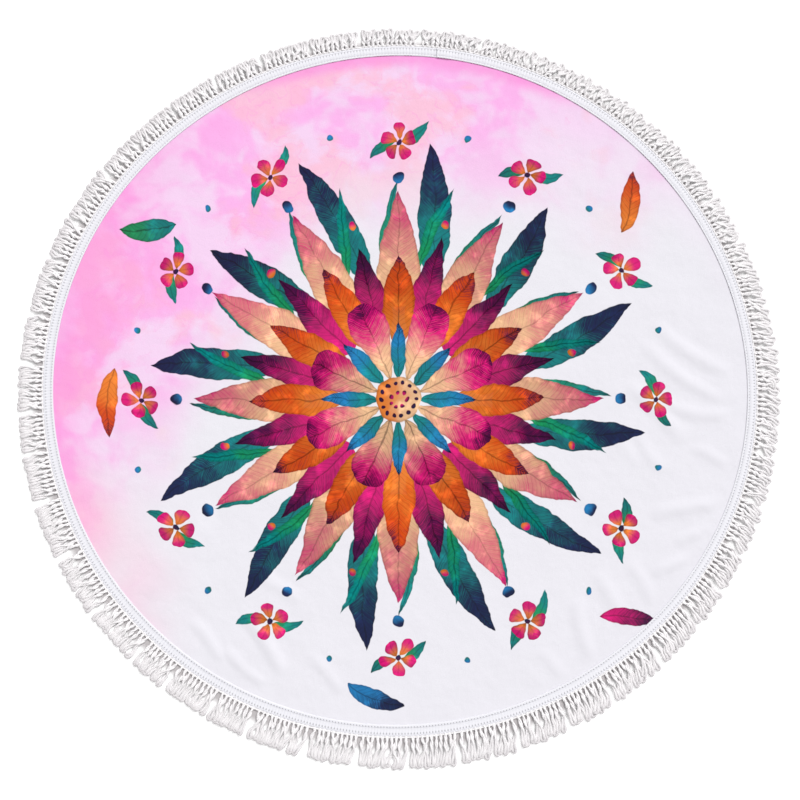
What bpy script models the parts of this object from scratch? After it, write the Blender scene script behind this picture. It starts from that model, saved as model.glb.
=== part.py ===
"""A round beach towel, lying flat with its printed face up.

Metres, +Z up. The underside lies on z = 0, and the origin is under the middle
of the fringe's outline. +Y is the top of the printed face. The towel is a few
percent wider than it is high, and its tape and fringe wander a little.

Three pieces: one round panel of cloth, the woven heading tape that covers the
panel's raw edge, and the looped fringe, whose foot lies under the tape's outer
edge, just outside the panel.
"""
import math
import random
from collections import namedtuple

import bmesh
import bpy
from mathutils import Vector
from mathutils.geometry import delaunay_2d_cdt

Oval = namedtuple("Oval", "centre_x centre_y half_x half_y")
Wave = namedtuple("Wave", "count height peak_deg")
Crease = namedtuple("Crease", "start_x start_y end_x end_y bow height half_width")
TasselRow = namedtuple("TasselRow", "along half_width height")
Tassel = namedtuple("Tassel", "angle tip_shift reach")
Finish = namedtuple("Finish", "name colour roughness metallic")

# The three ovals that everything follows.
OUTLINE = Oval(0.0, 0.0, 0.750, 0.729)
TAPE_INNER = Oval(0.0025, 0.0167, 0.6839, 0.6591)
FRINGE_ROOT = Oval(0.0015, 0.0143, 0.7058, 0.6831)

# How the sewn edge wanders in and out as it goes round.
EDGE_WAVES = (
    Wave(count=3, height=0.0015, peak_deg=-18.0),
    Wave(count=4, height=0.0015, peak_deg=-9.0),
)

# Bands across the trim, as shares of the way from TAPE_INNER to FRINGE_ROOT.
CREASE_LIMIT = -0.35
CLOTH_EDGE = 0.61
FOOT_INNER = 0.66
TAPE_OUTER = 0.87
FOOT_KNEE = 0.885
FOOT_OUTER = 1.0

# Heights.
CLOTH_THICKNESS = 0.0022
TAPE_THICKNESS = 0.0013
FOOT_HEIGHT = 0.0034
PIECE_GAP = 0.0003

# The tape is one length: its tail rises, clears its start and is laid over it.
TAPE_START_DEG = 82.4
TAPE_RISE_DEG = 1.2
TAPE_CLEAR_DEG = 0.2
TAPE_LAP_DEG = 1.6
FULL_TURN_DEG = 360.0

# Steps round the edge.
TASSEL_COUNT = 228
RING_STEPS = TASSEL_COUNT // 2

# A tassel's sections: share of its length, half its width, and its height.
TASSEL_ROWS = (
    TasselRow(along=0.30, half_width=0.0044, height=0.0048),
    TasselRow(along=0.68, half_width=0.0066, height=0.0058),
    TasselRow(along=0.90, half_width=0.0077, height=0.0056),
    TasselRow(along=1.00, half_width=0.0048, height=0.0034),
)
TASSEL_TOP_SHARE = 0.72
TASSEL_ROOT_SHARE = 0.66

# Tassels lie in gathered groups, loosest at the upper right, and lean clockwise, most at the right.
GROUP_SIZES = (4, 5, 5, 6)
GROUP_PULLS = (0.6, 1.4)
ROOT_GATHER = 0.05
TIP_GATHER = 0.060
GATHER_SWING = 0.036
LOOSE_SIDE_DEG = 45.0
REACH_LOSS = 0.06
LEAN_MEAN_DEG = -7.0
LEAN_SWING_DEG = -11.0
TASSEL_SEED = 23

# Soft creases: where each runs, how far it bows to its left, and its size.
CREASES = (
    Crease(0.505, 0.150, 0.655, 0.052, -0.010, 0.00275, 0.022),
    Crease(0.483, 0.115, 0.650, -0.004, -0.014, 0.00250, 0.020),
    Crease(0.450, 0.034, 0.568, -0.085, 0.004, 0.00275, 0.022),
    Crease(0.515, 0.002, 0.655, -0.028, -0.014, 0.00250, 0.020),
    Crease(0.470, -0.062, 0.525, -0.140, -0.008, 0.00200, 0.019),
    Crease(0.400, -0.045, 0.478, -0.136, 0.004, 0.00175, 0.019),
    Crease(0.575, -0.092, 0.652, -0.134, 0.004, 0.00200, 0.018),
    Crease(0.500, -0.228, 0.640, -0.207, 0.006, 0.00250, 0.021),
    Crease(0.545, -0.282, 0.622, -0.256, 0.003, 0.00200, 0.018),
    Crease(0.500, -0.345, 0.590, -0.312, 0.004, 0.00225, 0.019),
    Crease(0.455, -0.318, 0.510, -0.425, 0.005, 0.00200, 0.020),
    Crease(0.385, -0.335, 0.452, -0.458, 0.005, 0.00225, 0.021),
    Crease(0.352, -0.385, 0.390, -0.528, -0.010, 0.00250, 0.022),
    Crease(0.275, -0.492, 0.335, -0.560, 0.003, 0.00175, 0.018),
    Crease(-0.305, -0.425, -0.228, -0.545, 0.006, 0.00325, 0.022),
    Crease(-0.410, -0.432, -0.348, -0.518, 0.004, 0.00200, 0.019),
    Crease(-0.345, -0.485, -0.262, -0.566, -0.006, 0.00200, 0.018),
    Crease(-0.288, -0.342, -0.190, -0.402, 0.004, 0.00200, 0.021),
    Crease(-0.178, -0.500, -0.112, -0.582, 0.004, 0.00175, 0.018),
    Crease(-0.375, -0.215, -0.500, -0.390, 0.010, 0.00225, 0.026),
    Crease(-0.520, -0.030, -0.602, -0.150, 0.006, 0.00175, 0.024),
)
CREASE_STATIONS = 6
CREASE_OFFSETS = (-1.0, -0.5, 0.0, 0.5, 1.0)
CREASE_FADE = 0.030
POINT_SNAP = 0.0004

CLOTH_FINISH = Finish("printed_cloth", (0.93, 0.80, 0.90), 0.90, 0.0)
TAPE_FINISH = Finish("heading_white", (0.92, 0.92, 0.95), 0.85, 0.0)
FRINGE_FINISH = Finish("fringe_yarn_white", (0.93, 0.92, 0.91), 0.88, 0.0)


def clear_scene():
    """Remove everything that a new file starts with."""
    for item in list(bpy.data.objects):
        bpy.data.objects.remove(item, do_unlink=True)


def make_material(finish):
    """A plain shader with the finish's colour, roughness and metallic value."""
    material = bpy.data.materials.new(finish.name)
    material.use_nodes = True
    shader = material.node_tree.nodes["Principled BSDF"]
    shader.inputs["Base Color"].default_value = (*finish.colour, 1.0)
    shader.inputs["Roughness"].default_value = finish.roughness
    shader.inputs["Metallic"].default_value = finish.metallic
    return material


def add_object(name, shape, finish):
    """Turn a finished bmesh into a named object with its own material."""
    bmesh.ops.recalc_face_normals(shape, faces=shape.faces)
    bmesh.ops.triangulate(shape, faces=shape.faces)
    mesh = bpy.data.meshes.new(name)
    shape.to_mesh(mesh)
    shape.free()
    mesh.materials.append(make_material(finish))
    piece = bpy.data.objects.new(name, mesh)
    bpy.context.collection.objects.link(piece)
    return piece


def blend(start, end, share):
    """The value a share of the way from start to end."""
    return start + (end - start) * share


def edge_wander(angle):
    """How far the sewn edge stands out from its oval at an angle."""
    return sum(
        wave.height * math.cos(wave.count * (angle - math.radians(wave.peak_deg)))
        for wave in EDGE_WAVES
    )


def trim_point(share, angle, height):
    """A point of the trim: share 0 is the tape's inner edge, 1 the fringe's root."""
    centre_x = blend(TAPE_INNER.centre_x, FRINGE_ROOT.centre_x, share)
    centre_y = blend(TAPE_INNER.centre_y, FRINGE_ROOT.centre_y, share)
    half_x = blend(TAPE_INNER.half_x, FRINGE_ROOT.half_x, share) + edge_wander(angle)
    half_y = blend(TAPE_INNER.half_y, FRINGE_ROOT.half_y, share) + edge_wander(angle)
    return Vector((
        centre_x + half_x * math.cos(angle),
        centre_y + half_y * math.sin(angle),
        height,
    ))


def ring_angles(steps):
    """Even angles once round."""
    return [math.tau * step / steps for step in range(steps)]


def crease_point(crease, along, offset):
    """A point of a crease: along 0..1, offset in half widths to its left."""
    start = Vector((crease.start_x, crease.start_y))
    run = Vector((crease.end_x, crease.end_y)) - start
    left = Vector((-run.y, run.x)).normalized()
    bowed = crease.bow * 4.0 * along * (1.0 - along)
    return start + run * along + left * (bowed + offset * crease.half_width)


def crease_rise(crease, place):
    """How high one crease lifts the cloth at a place."""
    start = Vector((crease.start_x, crease.start_y))
    run = Vector((crease.end_x, crease.end_y)) - start
    left = Vector((-run.y, run.x)).normalized()
    along = (place - start).dot(run) / run.length_squared
    if not 0.0 < along < 1.0:
        return 0.0
    aside = (place - start).dot(left) - crease.bow * 4.0 * along * (1.0 - along)
    if abs(aside) >= crease.half_width:
        return 0.0
    across = math.cos(0.5 * math.pi * aside / crease.half_width) ** 2
    return crease.height * across * (1.0 - (2.0 * along - 1.0) ** 4)


def cloth_rise(place):
    """Height of the cloth's underside above the surface at a place."""
    share_x = (place.x - TAPE_INNER.centre_x) / TAPE_INNER.half_x
    share_y = (place.y - TAPE_INNER.centre_y) / TAPE_INNER.half_y
    inside = (1.0 - CREASE_FADE / 2.0 - math.hypot(share_x, share_y)) / CREASE_FADE
    fade = min(max(inside, 0.0), 1.0)
    return fade * max(crease_rise(crease, place) for crease in CREASES)


def build_cloth():
    """The round panel: flat where it lies, lifted in soft creases."""
    points = []
    lines = []
    for share, steps in ((CLOTH_EDGE, RING_STEPS), (CREASE_LIMIT, RING_STEPS // 2)):
        first = len(points)
        points += [trim_point(share, angle, 0.0).to_2d() for angle in ring_angles(steps)]
        lines += [(first + k, first + (k + 1) % steps) for k in range(steps)]
    for crease in CREASES:
        for offset in CREASE_OFFSETS:
            first = len(points)
            for station in range(CREASE_STATIONS):
                points.append(crease_point(crease, station / (CREASE_STATIONS - 1), offset))
            lines += [(first + k, first + k + 1) for k in range(CREASE_STATIONS - 1)]
    inside_only = 1
    places, _, triangles, _, _, _ = delaunay_2d_cdt(points, lines, [], inside_only, POINT_SNAP)

    shape = bmesh.new()
    under = []
    upper = []
    for place in places:
        rise = cloth_rise(place)
        under.append(shape.verts.new((place.x, place.y, rise)))
        upper.append(shape.verts.new((place.x, place.y, rise + CLOTH_THICKNESS)))
    for corners in triangles:
        shape.faces.new([upper[k] for k in corners])
        shape.faces.new([under[k] for k in reversed(corners)])
    under_of = dict(zip(upper, under))
    for edge in [edge for edge in shape.edges if edge.is_boundary and edge.verts[0] in under_of]:
        one, two = edge.verts
        shape.faces.new((one, two, under_of[two], under_of[one]))
    return add_object("towel_cloth", shape, CLOTH_FINISH)


def build_tape():
    """The woven heading tape, one length laid round with its tail lapped over."""
    low = CLOTH_THICKNESS + PIECE_GAP
    section = ((0.0, low), (TAPE_OUTER, low), (TAPE_OUTER, low + TAPE_THICKNESS),
               (0.0, low + TAPE_THICKNESS))
    step_deg = FULL_TURN_DEG / RING_STEPS
    lap_lift = TAPE_THICKNESS + PIECE_GAP
    stations = [(step * step_deg, 0.0) for step in range(RING_STEPS - 1)]
    stations += [
        (FULL_TURN_DEG - TAPE_RISE_DEG, 0.0),
        (FULL_TURN_DEG - TAPE_CLEAR_DEG, lap_lift),
        (FULL_TURN_DEG + TAPE_LAP_DEG, lap_lift),
    ]

    shape = bmesh.new()
    rows = []
    for station_deg, lift in stations:
        angle = math.radians(TAPE_START_DEG + station_deg)
        rows.append([shape.verts.new(trim_point(share, angle, height + lift))
                     for share, height in section])
    for row, following in zip(rows, rows[1:]):
        for k in range(len(section)):
            after = (k + 1) % len(section)
            shape.faces.new((row[k], row[after], following[after], following[k]))
    shape.faces.new(rows[0])
    shape.faces.new(rows[-1])
    return add_object("heading_tape", shape, TAPE_FINISH)


def tassel_layout():
    """Where each tassel starts, how it is gathered, and how far it reaches."""
    chance = random.Random(TASSEL_SEED)
    pitch = math.tau / TASSEL_COUNT
    tassels = []
    while len(tassels) < TASSEL_COUNT:
        size = min(chance.choice(GROUP_SIZES), TASSEL_COUNT - len(tassels))
        pull = pitch * chance.uniform(*GROUP_PULLS)
        for place in range(size):
            inward = ((size - 1) / 2.0 - place) * pull
            angle = pitch * (len(tassels) + 0.5) + inward * ROOT_GATHER
            loose = math.cos(angle - math.radians(LOOSE_SIDE_DEG))
            shift = inward * (TIP_GATHER - GATHER_SWING * loose)
            reach = 1.0 - REACH_LOSS * chance.random()
            tassels.append(Tassel(angle, shift, reach))
    return tassels


def tassel_line(tassel):
    """Root, bend and tip of a tassel's centre line on the surface."""
    root = trim_point(FOOT_OUTER, tassel.angle, 0.0).to_2d()
    outward = Vector((math.cos(tassel.angle), math.sin(tassel.angle)))
    lean = math.radians(LEAN_MEAN_DEG + LEAN_SWING_DEG * math.cos(tassel.angle))
    heading = Vector((
        math.cos(tassel.angle + lean),
        math.sin(tassel.angle + lean),
    ))
    # Where the heading from the root meets the outline.
    squash = Vector((1.0 / OUTLINE.half_x, 1.0 / OUTLINE.half_y))
    base = root * squash
    step = heading * squash
    half_b = base.dot(step)
    spare = half_b * half_b - step.length_squared * (base.length_squared - 1.0)
    length = (math.sqrt(spare) - half_b) / step.length_squared
    sideways = Vector((-outward.y, outward.x)) * (tassel.tip_shift * OUTLINE.half_x)
    tip = root + heading * length * tassel.reach + sideways
    bend = root + outward * (tip - root).length * 0.5
    return root, bend, tip


def tassel_section(line, row):
    """The four corners of a tassel's section: low left, low right, high right, high left."""
    root, bend, tip = line
    t = row.along
    centre = root * (1 - t) ** 2 + bend * (2 * t * (1 - t)) + tip * t ** 2
    ahead = ((bend - root) * (1 - t) + (tip - bend) * t).normalized()
    right = Vector((ahead.y, -ahead.x))
    low = right * row.half_width
    high = low * TASSEL_TOP_SHARE
    corners = ((-low, 0.0), (low, 0.0), (high, row.height), (-high, row.height))
    return [(centre + aside).to_3d() + Vector((0.0, 0.0, height)) for aside, height in corners]


def join_rings(shape, coarse, fine):
    """Fill between two rings of (angle, vertex) that have different steps."""
    low_count, high_count = len(coarse), len(fine)
    i = j = 0
    while i < low_count or j < high_count:
        next_low = coarse[i + 1][0] if i + 1 < low_count else coarse[0][0] + math.tau
        next_high = fine[j + 1][0] if j + 1 < high_count else fine[0][0] + math.tau
        take_low = j == high_count or (i < low_count and next_low < next_high)
        here_low = coarse[i % low_count][1]
        here_high = fine[j % high_count][1]
        if take_low:
            shape.faces.new((here_low, coarse[(i + 1) % low_count][1], here_high))
            i += 1
        else:
            shape.faces.new((here_low, fine[(j + 1) % high_count][1], here_high))
            j += 1


def add_ring(shape, share, height, angles):
    """A ring of vertices round the trim, kept with their angles."""
    return [(angle, shape.verts.new(trim_point(share, angle, height))) for angle in angles]


def join_even_rings(shape, one, two):
    """Fill between two rings of the same steps."""
    for k in range(len(one)):
        after = (k + 1) % len(one)
        shape.faces.new((one[k][1], one[after][1], two[after][1], two[k][1]))


def build_fringe():
    """The fringe: a low foot under the tape's edge, and its tassels lying outward."""
    pitch = math.tau / TASSEL_COUNT
    half_root = TASSEL_ROOT_SHARE * pitch / 2.0
    tassels = tassel_layout()
    root_angles = []
    for tassel in tassels:
        root_angles += [tassel.angle - half_root, tassel.angle + half_root]

    shape = bmesh.new()
    coarse = ring_angles(RING_STEPS)
    inner_low = add_ring(shape, FOOT_INNER, 0.0, coarse)
    inner_high = add_ring(shape, FOOT_INNER, CLOTH_THICKNESS, coarse)
    knee = add_ring(shape, FOOT_KNEE, CLOTH_THICKNESS, coarse)
    root_high = add_ring(shape, FOOT_OUTER, FOOT_HEIGHT, root_angles)
    root_low = add_ring(shape, FOOT_OUTER, 0.0, root_angles)
    join_even_rings(shape, inner_low, inner_high)
    join_even_rings(shape, inner_high, knee)
    join_rings(shape, knee, root_high)
    join_rings(shape, inner_low, root_low)

    for k, tassel in enumerate(tassels):
        one, two = 2 * k, 2 * k + 1
        after = (two + 1) % len(root_low)
        shape.faces.new((root_low[two][1], root_low[after][1],
                         root_high[after][1], root_high[two][1]))
        # Seen from the root, left is the way the angles grow.
        section = [root_low[two][1], root_low[one][1], root_high[one][1], root_high[two][1]]
        line = tassel_line(tassel)
        for row in TASSEL_ROWS:
            following = [shape.verts.new(corner) for corner in tassel_section(line, row)]
            for side in range(4):
                beside = (side + 1) % 4
                shape.faces.new((section[side], section[beside],
                                 following[beside], following[side]))
            section = following
        shape.faces.new(section)
    return add_object("loop_fringe", shape, FRINGE_FINISH)


clear_scene()
build_cloth()
build_tape()
build_fringe()
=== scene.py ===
"""Looks of the round beach towel: printed cloth, woven heading tape, looped fringe.

The towel lies flat with its printed face up. Everything is in metres, in the same frame
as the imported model: the surface is z = 0 and +Y is the top of the printed face.
"""
import logging
import math
import random
from dataclasses import dataclass, field
from enum import Enum

import bpy
import numpy as np
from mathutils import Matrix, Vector


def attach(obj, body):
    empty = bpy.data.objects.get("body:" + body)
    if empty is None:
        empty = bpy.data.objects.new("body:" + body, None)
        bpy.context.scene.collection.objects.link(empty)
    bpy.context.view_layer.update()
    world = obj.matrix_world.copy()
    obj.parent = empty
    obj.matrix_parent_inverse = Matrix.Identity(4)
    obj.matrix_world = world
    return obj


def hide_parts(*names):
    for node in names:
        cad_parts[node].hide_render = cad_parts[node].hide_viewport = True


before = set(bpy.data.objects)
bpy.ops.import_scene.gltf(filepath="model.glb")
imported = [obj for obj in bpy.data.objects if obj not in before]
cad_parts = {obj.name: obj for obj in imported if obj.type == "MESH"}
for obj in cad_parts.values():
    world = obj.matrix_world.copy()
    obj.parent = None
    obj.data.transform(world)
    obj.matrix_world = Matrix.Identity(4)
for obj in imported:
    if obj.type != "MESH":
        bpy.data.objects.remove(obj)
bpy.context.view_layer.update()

LOG = logging.getLogger("towel")
MILLI = 0.001
TURN = math.tau
FULL_DEG = 360.0
MAP_NAME = "lay"

# Lines across the trim, as shares of the way from the tape's inner edge to the fringe's root.
CLOTH_EDGE = 0.61
FOOT_INNER = 0.66
TAPE_OUTER = 0.87
INNER_SEAM = 0.23
OUTER_SEAM = 0.75

# Along a yarn, how far its strands run for one turn round it.
YARN_LAY = 0.010

Span = tuple[float, float]
Triple = tuple[float, float, float]
Paint = tuple[float, ...]


# ---------------------------------------------------------------------------
# Shapes that the pieces share
# ---------------------------------------------------------------------------


@dataclass(frozen=True)
class Oval:
    """An oval on the surface, in metres."""

    centre_x: float
    centre_y: float
    half_x: float
    half_y: float


@dataclass(frozen=True)
class Wave:
    """One term of the way a sewn edge wanders in and out."""

    count: int
    height: float
    peak_deg: float


@dataclass(frozen=True)
class SewnEdge:
    """The lines that the trim follows: share 0 is the tape's inner edge, 1 the fringe's root."""

    inner: Oval = Oval(0.0025, 0.0167, 0.6839, 0.6591)
    root: Oval = Oval(0.0015, 0.0143, 0.7058, 0.6831)
    outline: Oval = Oval(0.0, 0.0, 0.750, 0.729)
    waves: tuple[Wave, ...] = (Wave(3, 0.0015, -18.0), Wave(4, 0.0015, -9.0))

    def wander(self, angle: np.ndarray) -> np.ndarray:
        """How far the edge stands out from its oval at each angle."""
        terms = [w.height * np.cos(w.count * (angle - math.radians(w.peak_deg))) for w in self.waves]
        return np.sum(terms, axis=0)

    def point(self, share: np.ndarray | float, angle: np.ndarray) -> np.ndarray:
        """Places round the trim.

        Args:
            share: how far each place is from the inner edge (0) to the root line (1).
            angle: its angle round the towel, from +X towards +Y.

        Returns:
            Points on the surface, as (..., 2).
        """
        wander = self.wander(angle)
        blend = [a + (b - a) * share for a, b in zip(self._sizes(self.inner), self._sizes(self.root))]
        across = blend[0] + (blend[2] + wander) * np.cos(angle)
        upward = blend[1] + (blend[3] + wander) * np.sin(angle)
        return np.stack([across, upward], axis=-1)

    @staticmethod
    def _sizes(oval: Oval) -> tuple[float, float, float, float]:
        """An oval's four numbers."""
        return oval.centre_x, oval.centre_y, oval.half_x, oval.half_y


def through(keys: np.ndarray, values: np.ndarray, where: np.ndarray) -> np.ndarray:
    """A smooth line through a few key values.

    Args:
        keys: the places of the key values, rising.
        values: the value at each key.
        where: the places to read the line at.

    Returns:
        The line's value at each place.
    """
    slope = np.gradient(values, keys)
    left = np.clip(np.searchsorted(keys, where, side="right") - 1, 0, len(keys) - 2)
    span = keys[left + 1] - keys[left]
    t = np.clip((where - keys[left]) / span, 0.0, 1.0)
    start = values[left] * (1 + 2 * t) * (1 - t) ** 2 + slope[left] * span * t * (1 - t) ** 2
    end = values[left + 1] * t ** 2 * (3 - 2 * t) + slope[left + 1] * span * t ** 2 * (t - 1)
    return start + end


@dataclass
class Gatherer:
    """Collects points, faces and their map coordinates, then makes one mesh of them."""

    points: list[np.ndarray] = field(default_factory=list)
    faces: list[np.ndarray] = field(default_factory=list)
    maps: list[np.ndarray] = field(default_factory=list)
    slots: list[np.ndarray] = field(default_factory=list)
    count: int = 0

    def add_points(self, points: np.ndarray) -> int:
        """Adds points.

        Args:
            points: the points, as (..., 3).

        Returns:
            The number of the first of them.
        """
        first = self.count
        self.points.append(points.reshape(-1, 3))
        self.count += len(self.points[-1])
        return first

    def add_faces(self, faces: np.ndarray, maps: np.ndarray | None = None, slot: int = 0) -> None:
        """Adds faces of one kind.

        Args:
            faces: point numbers, a row for each face.
            maps: a map coordinate for each corner, or None.
            slot: the material slot that the faces use.
        """
        self.faces.append(faces)
        self.maps.append(np.zeros((*faces.shape, 2)) if maps is None else maps)
        self.slots.append(np.full(len(faces), slot))

    def add_skin(self, rows: np.ndarray, along: np.ndarray, around: np.ndarray, closed: bool,
                 slot: int = 0) -> int:
        """Adds a skin over rows of points, such as a tube or a strip.

        Args:
            rows: points, as (stations, points across, 3).
            along: each station's map coordinate.
            around: the map coordinate of each point across, with one more where it closes.
            closed: whether each row closes on itself.
            slot: the material slot.

        Returns:
            The number of the first point.
        """
        stations, across = rows.shape[:2]
        first = self.add_points(rows)
        cells = across if closed else across - 1
        i, j = np.meshgrid(np.arange(stations - 1), np.arange(cells), indexing="ij")
        after = (j + 1) % across
        corners = np.stack([i * across + j, i * across + after,
                            (i + 1) * across + after, (i + 1) * across + j], axis=-1)
        u = np.stack([along[i], along[i], along[i + 1], along[i + 1]], axis=-1)
        v = np.stack([around[j], around[j + 1], around[j + 1], around[j]], axis=-1)
        self.add_faces(first + corners.reshape(-1, 4), np.stack([u, v], axis=-1).reshape(-1, 4, 2), slot)
        return first

    def close_ends(self, first: int, stations: int, across: int) -> None:
        """Adds the two end faces of a skin whose rows close.

        Args:
            first: the number of the skin's first point.
            stations: how many rows it has.
            across: how many points a row has.
        """
        last = first + (stations - 1) * across
        self.add_faces(np.array([np.arange(across)[::-1] + first]))
        self.add_faces(np.array([np.arange(across) + last]))

    def add_tube(self, line: np.ndarray, radius: np.ndarray, sides: int, ply: float = 0.0) -> None:
        """Adds a round thread along a line, with its ends closed.

        Args:
            line: the points it follows, as (stations, 3).
            radius: its radius at each station.
            sides: how many sides its section has.
            ply: how far its two strands stand out of a round section, as a share of the radius.
        """
        ahead = np.gradient(line, axis=0)
        ahead /= np.linalg.norm(ahead, axis=1, keepdims=True)
        side = np.cross(np.array([0.0, 0.0, 1.0]), ahead)
        side /= np.linalg.norm(side, axis=1, keepdims=True)
        up = np.cross(ahead, side)
        turn = TURN * np.arange(sides) / sides
        ring = side[:, None] * np.cos(turn)[None, :, None] + up[:, None] * np.sin(turn)[None, :, None]
        run = np.concatenate([[0.0], np.cumsum(np.linalg.norm(np.diff(line, axis=0), axis=1))])
        lobes = 1.0 + ply * np.cos(2.0 * (turn[None, :] - TURN * run[:, None] / YARN_LAY))
        rows = line[:, None] + ring * (radius[:, None] * lobes)[..., None]
        first = self.add_skin(rows, run, np.arange(sides + 1) / sides, True)
        self.close_ends(first, len(line), sides)

    def make(self, name: str, materials: list[bpy.types.Material]) -> bpy.types.Object:
        """Makes the piece.

        Args:
            name: the piece's name.
            materials: what its material slots hold.

        Returns:
            The new object, linked to the scene.
        """
        mesh = bpy.data.meshes.new(name)
        points = np.concatenate(self.points)
        corners = np.concatenate([f.ravel() for f in self.faces])
        sizes = np.concatenate([np.full(len(f), f.shape[1]) for f in self.faces])
        mesh.vertices.add(len(points))
        mesh.vertices.foreach_set("co", points.astype(np.float32).ravel())
        mesh.loops.add(len(corners))
        mesh.loops.foreach_set("vertex_index", corners.astype(np.int32))
        mesh.polygons.add(len(sizes))
        mesh.polygons.foreach_set("loop_start", (np.cumsum(sizes) - sizes).astype(np.int32))
        mesh.polygons.foreach_set("material_index", np.concatenate(self.slots).astype(np.int32))
        mesh.update(calc_edges=True)
        layer = mesh.uv_layers.new(name=MAP_NAME)
        layer.uv.foreach_set("vector", np.concatenate([m.reshape(-1) for m in self.maps]).astype(np.float32))
        mesh.shade_smooth()
        for material in materials:
            mesh.materials.append(material)
        piece = bpy.data.objects.new(name, mesh)
        bpy.context.scene.collection.objects.link(piece)
        return piece


# ---------------------------------------------------------------------------
# Node sheets: small helpers to write a finish as plain sums
# ---------------------------------------------------------------------------

Socket = bpy.types.NodeSocket
Value = float | Socket

# The Mix node's sockets for colours: the share and the two colours, and the blend.
MIX_INPUTS = (0, 6, 7)
MIX_RESULT = 2

# How a display value from 0 to 1 becomes a share of light.
KNEE = 0.04045
LOW_SLOPE = 12.92
OFFSET = 0.055
CURVE = 2.4


@dataclass(frozen=True)
class Grain:
    """Soft noise: how fine it is, how many finer layers it has, and how strong they are."""

    scale: float
    layers: float = 2.0
    rough: float = 0.5


@dataclass
class NodeSheet:
    """A material's nodes, added one by one."""

    material: bpy.types.Material

    @classmethod
    def named(cls, name: str) -> "NodeSheet":
        """A new material with its shader and output alone.

        Args:
            name: the material's name.

        Returns:
            The sheet that adds nodes to it.
        """
        material = bpy.data.materials.new(name)
        material.use_nodes = True
        return cls(material)

    @property
    def shader(self) -> bpy.types.Node:
        """The material's Principled shader."""
        return self.material.node_tree.nodes["Principled BSDF"]

    def add(self, kind: str, **settings: object) -> bpy.types.Node:
        """Adds a node.

        Args:
            kind: the node's type.
            settings: its properties, by name.

        Returns:
            The new node.
        """
        node = self.material.node_tree.nodes.new(kind)
        for key, value in settings.items():
            setattr(node, key, value)
        return node

    def feed(self, socket: Socket, value: object) -> None:
        """Sets a socket, or links another to it.

        Args:
            socket: the input.
            value: a number, a colour, a vector or another node's output.
        """
        if isinstance(value, bpy.types.NodeSocket):
            self.material.node_tree.links.new(value, socket)
        else:
            socket.default_value = value

    def spot(self) -> Socket:
        """The place on the towel, in metres."""
        return self.add("ShaderNodeTexCoord").outputs["Object"]

    def split(self, place: Socket) -> tuple[Socket, Socket]:
        """Takes a place apart.

        Args:
            place: the place.

        Returns:
            Its first two numbers.
        """
        parts = self.add("ShaderNodeSeparateXYZ")
        self.feed(parts.inputs[0], place)
        return parts.outputs["X"], parts.outputs["Y"]

    def laid(self) -> tuple[Socket, Socket]:
        """The place along and across a tape, or along and round a thread, by its map."""
        return self.split(self.add("ShaderNodeUVMap", uv_map=MAP_NAME).outputs[0])

    def math(self, operation: str, one: Value, two: Value = 0.0, three: Value = 0.0,
             clamp: bool = False) -> Socket:
        """One arithmetic step.

        Args:
            operation: the node's operation.
            one: its first value.
            two: its second value.
            three: its third value.
            clamp: whether the result is held between 0 and 1.

        Returns:
            The result.
        """
        node = self.add("ShaderNodeMath", operation=operation, use_clamp=clamp)
        for socket, value in zip(node.inputs, (one, two, three)):
            self.feed(socket, value)
        return node.outputs[0]

    def vector(self, operation: str, *values: object) -> bpy.types.Node:
        """One step of sums with places.

        Args:
            operation: the node's operation.
            values: what its inputs hold, in order.

        Returns:
            The node, which gives a vector or a value.
        """
        node = self.add("ShaderNodeVectorMath", operation=operation)
        for socket, value in zip(node.inputs, values):
            self.feed(socket, value)
        return node

    def scaled(self, paint: Socket, share: Value) -> Socket:
        """Makes a colour lighter or darker.

        Args:
            paint: the colour.
            share: what it is multiplied by.

        Returns:
            The new colour.
        """
        node = self.vector("SCALE", paint)
        self.feed(node.inputs["Scale"], share)
        return node.outputs[0]

    def length(self, x: Socket, y: Socket) -> Socket:
        """How long the line with these two sides is."""
        squares = self.math("MULTIPLY_ADD", x, x, self.math("MULTIPLY", y, y))
        return self.math("SQRT", squares)

    def step(self, value: Value, low: Value, high: Value) -> Socket:
        """Rises smoothly from 0 to 1.

        Args:
            value: what is read.
            low: where the result is 0.
            high: where the result is 1. It may be below low.

        Returns:
            The result, from 0 to 1.
        """
        node = self.add("ShaderNodeMapRange", interpolation_type="SMOOTHSTEP")
        self.feed(node.inputs["Value"], value)
        self.feed(node.inputs["From Min"], low)
        self.feed(node.inputs["From Max"], high)
        return node.outputs["Result"]

    def side(self, place: Socket, toward: Triple, span: Span) -> Socket:
        """Rises smoothly from 0 to 1 over a span of the way along a direction."""
        return self.step(self.toward(place, toward), *span)

    def mix(self, share: Value, one: object, two: object) -> Socket:
        """Blends two colours.

        Args:
            share: how much of the second there is.
            one: the first colour.
            two: the second colour.

        Returns:
            The blend.
        """
        node = self.add("ShaderNodeMix", data_type="RGBA")
        for number, value in zip(MIX_INPUTS, (share, one, two)):
            self.feed(node.inputs[number], value)
        return node.outputs[MIX_RESULT]

    def toward(self, place: Socket, direction: Triple) -> Socket:
        """How far along a direction each place lies."""
        return self.vector("DOT_PRODUCT", place, direction).outputs["Value"]

    def reach(self, place: Socket, oval: Oval) -> Socket:
        """How far out each place lies from an oval's middle.

        Args:
            place: the place on the towel.
            oval: the oval.

        Returns:
            The distance as a share of the oval's half sizes, so that it is 1 on the oval.
        """
        scale = (1.0 / oval.half_x, 1.0 / oval.half_y, 0.0)
        shift = (-oval.centre_x / oval.half_x, -oval.centre_y / oval.half_y, 0.0)
        squashed = self.vector("MULTIPLY_ADD", place, scale, shift)
        return self.vector("LENGTH", squashed.outputs[0]).outputs["Value"]

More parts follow.
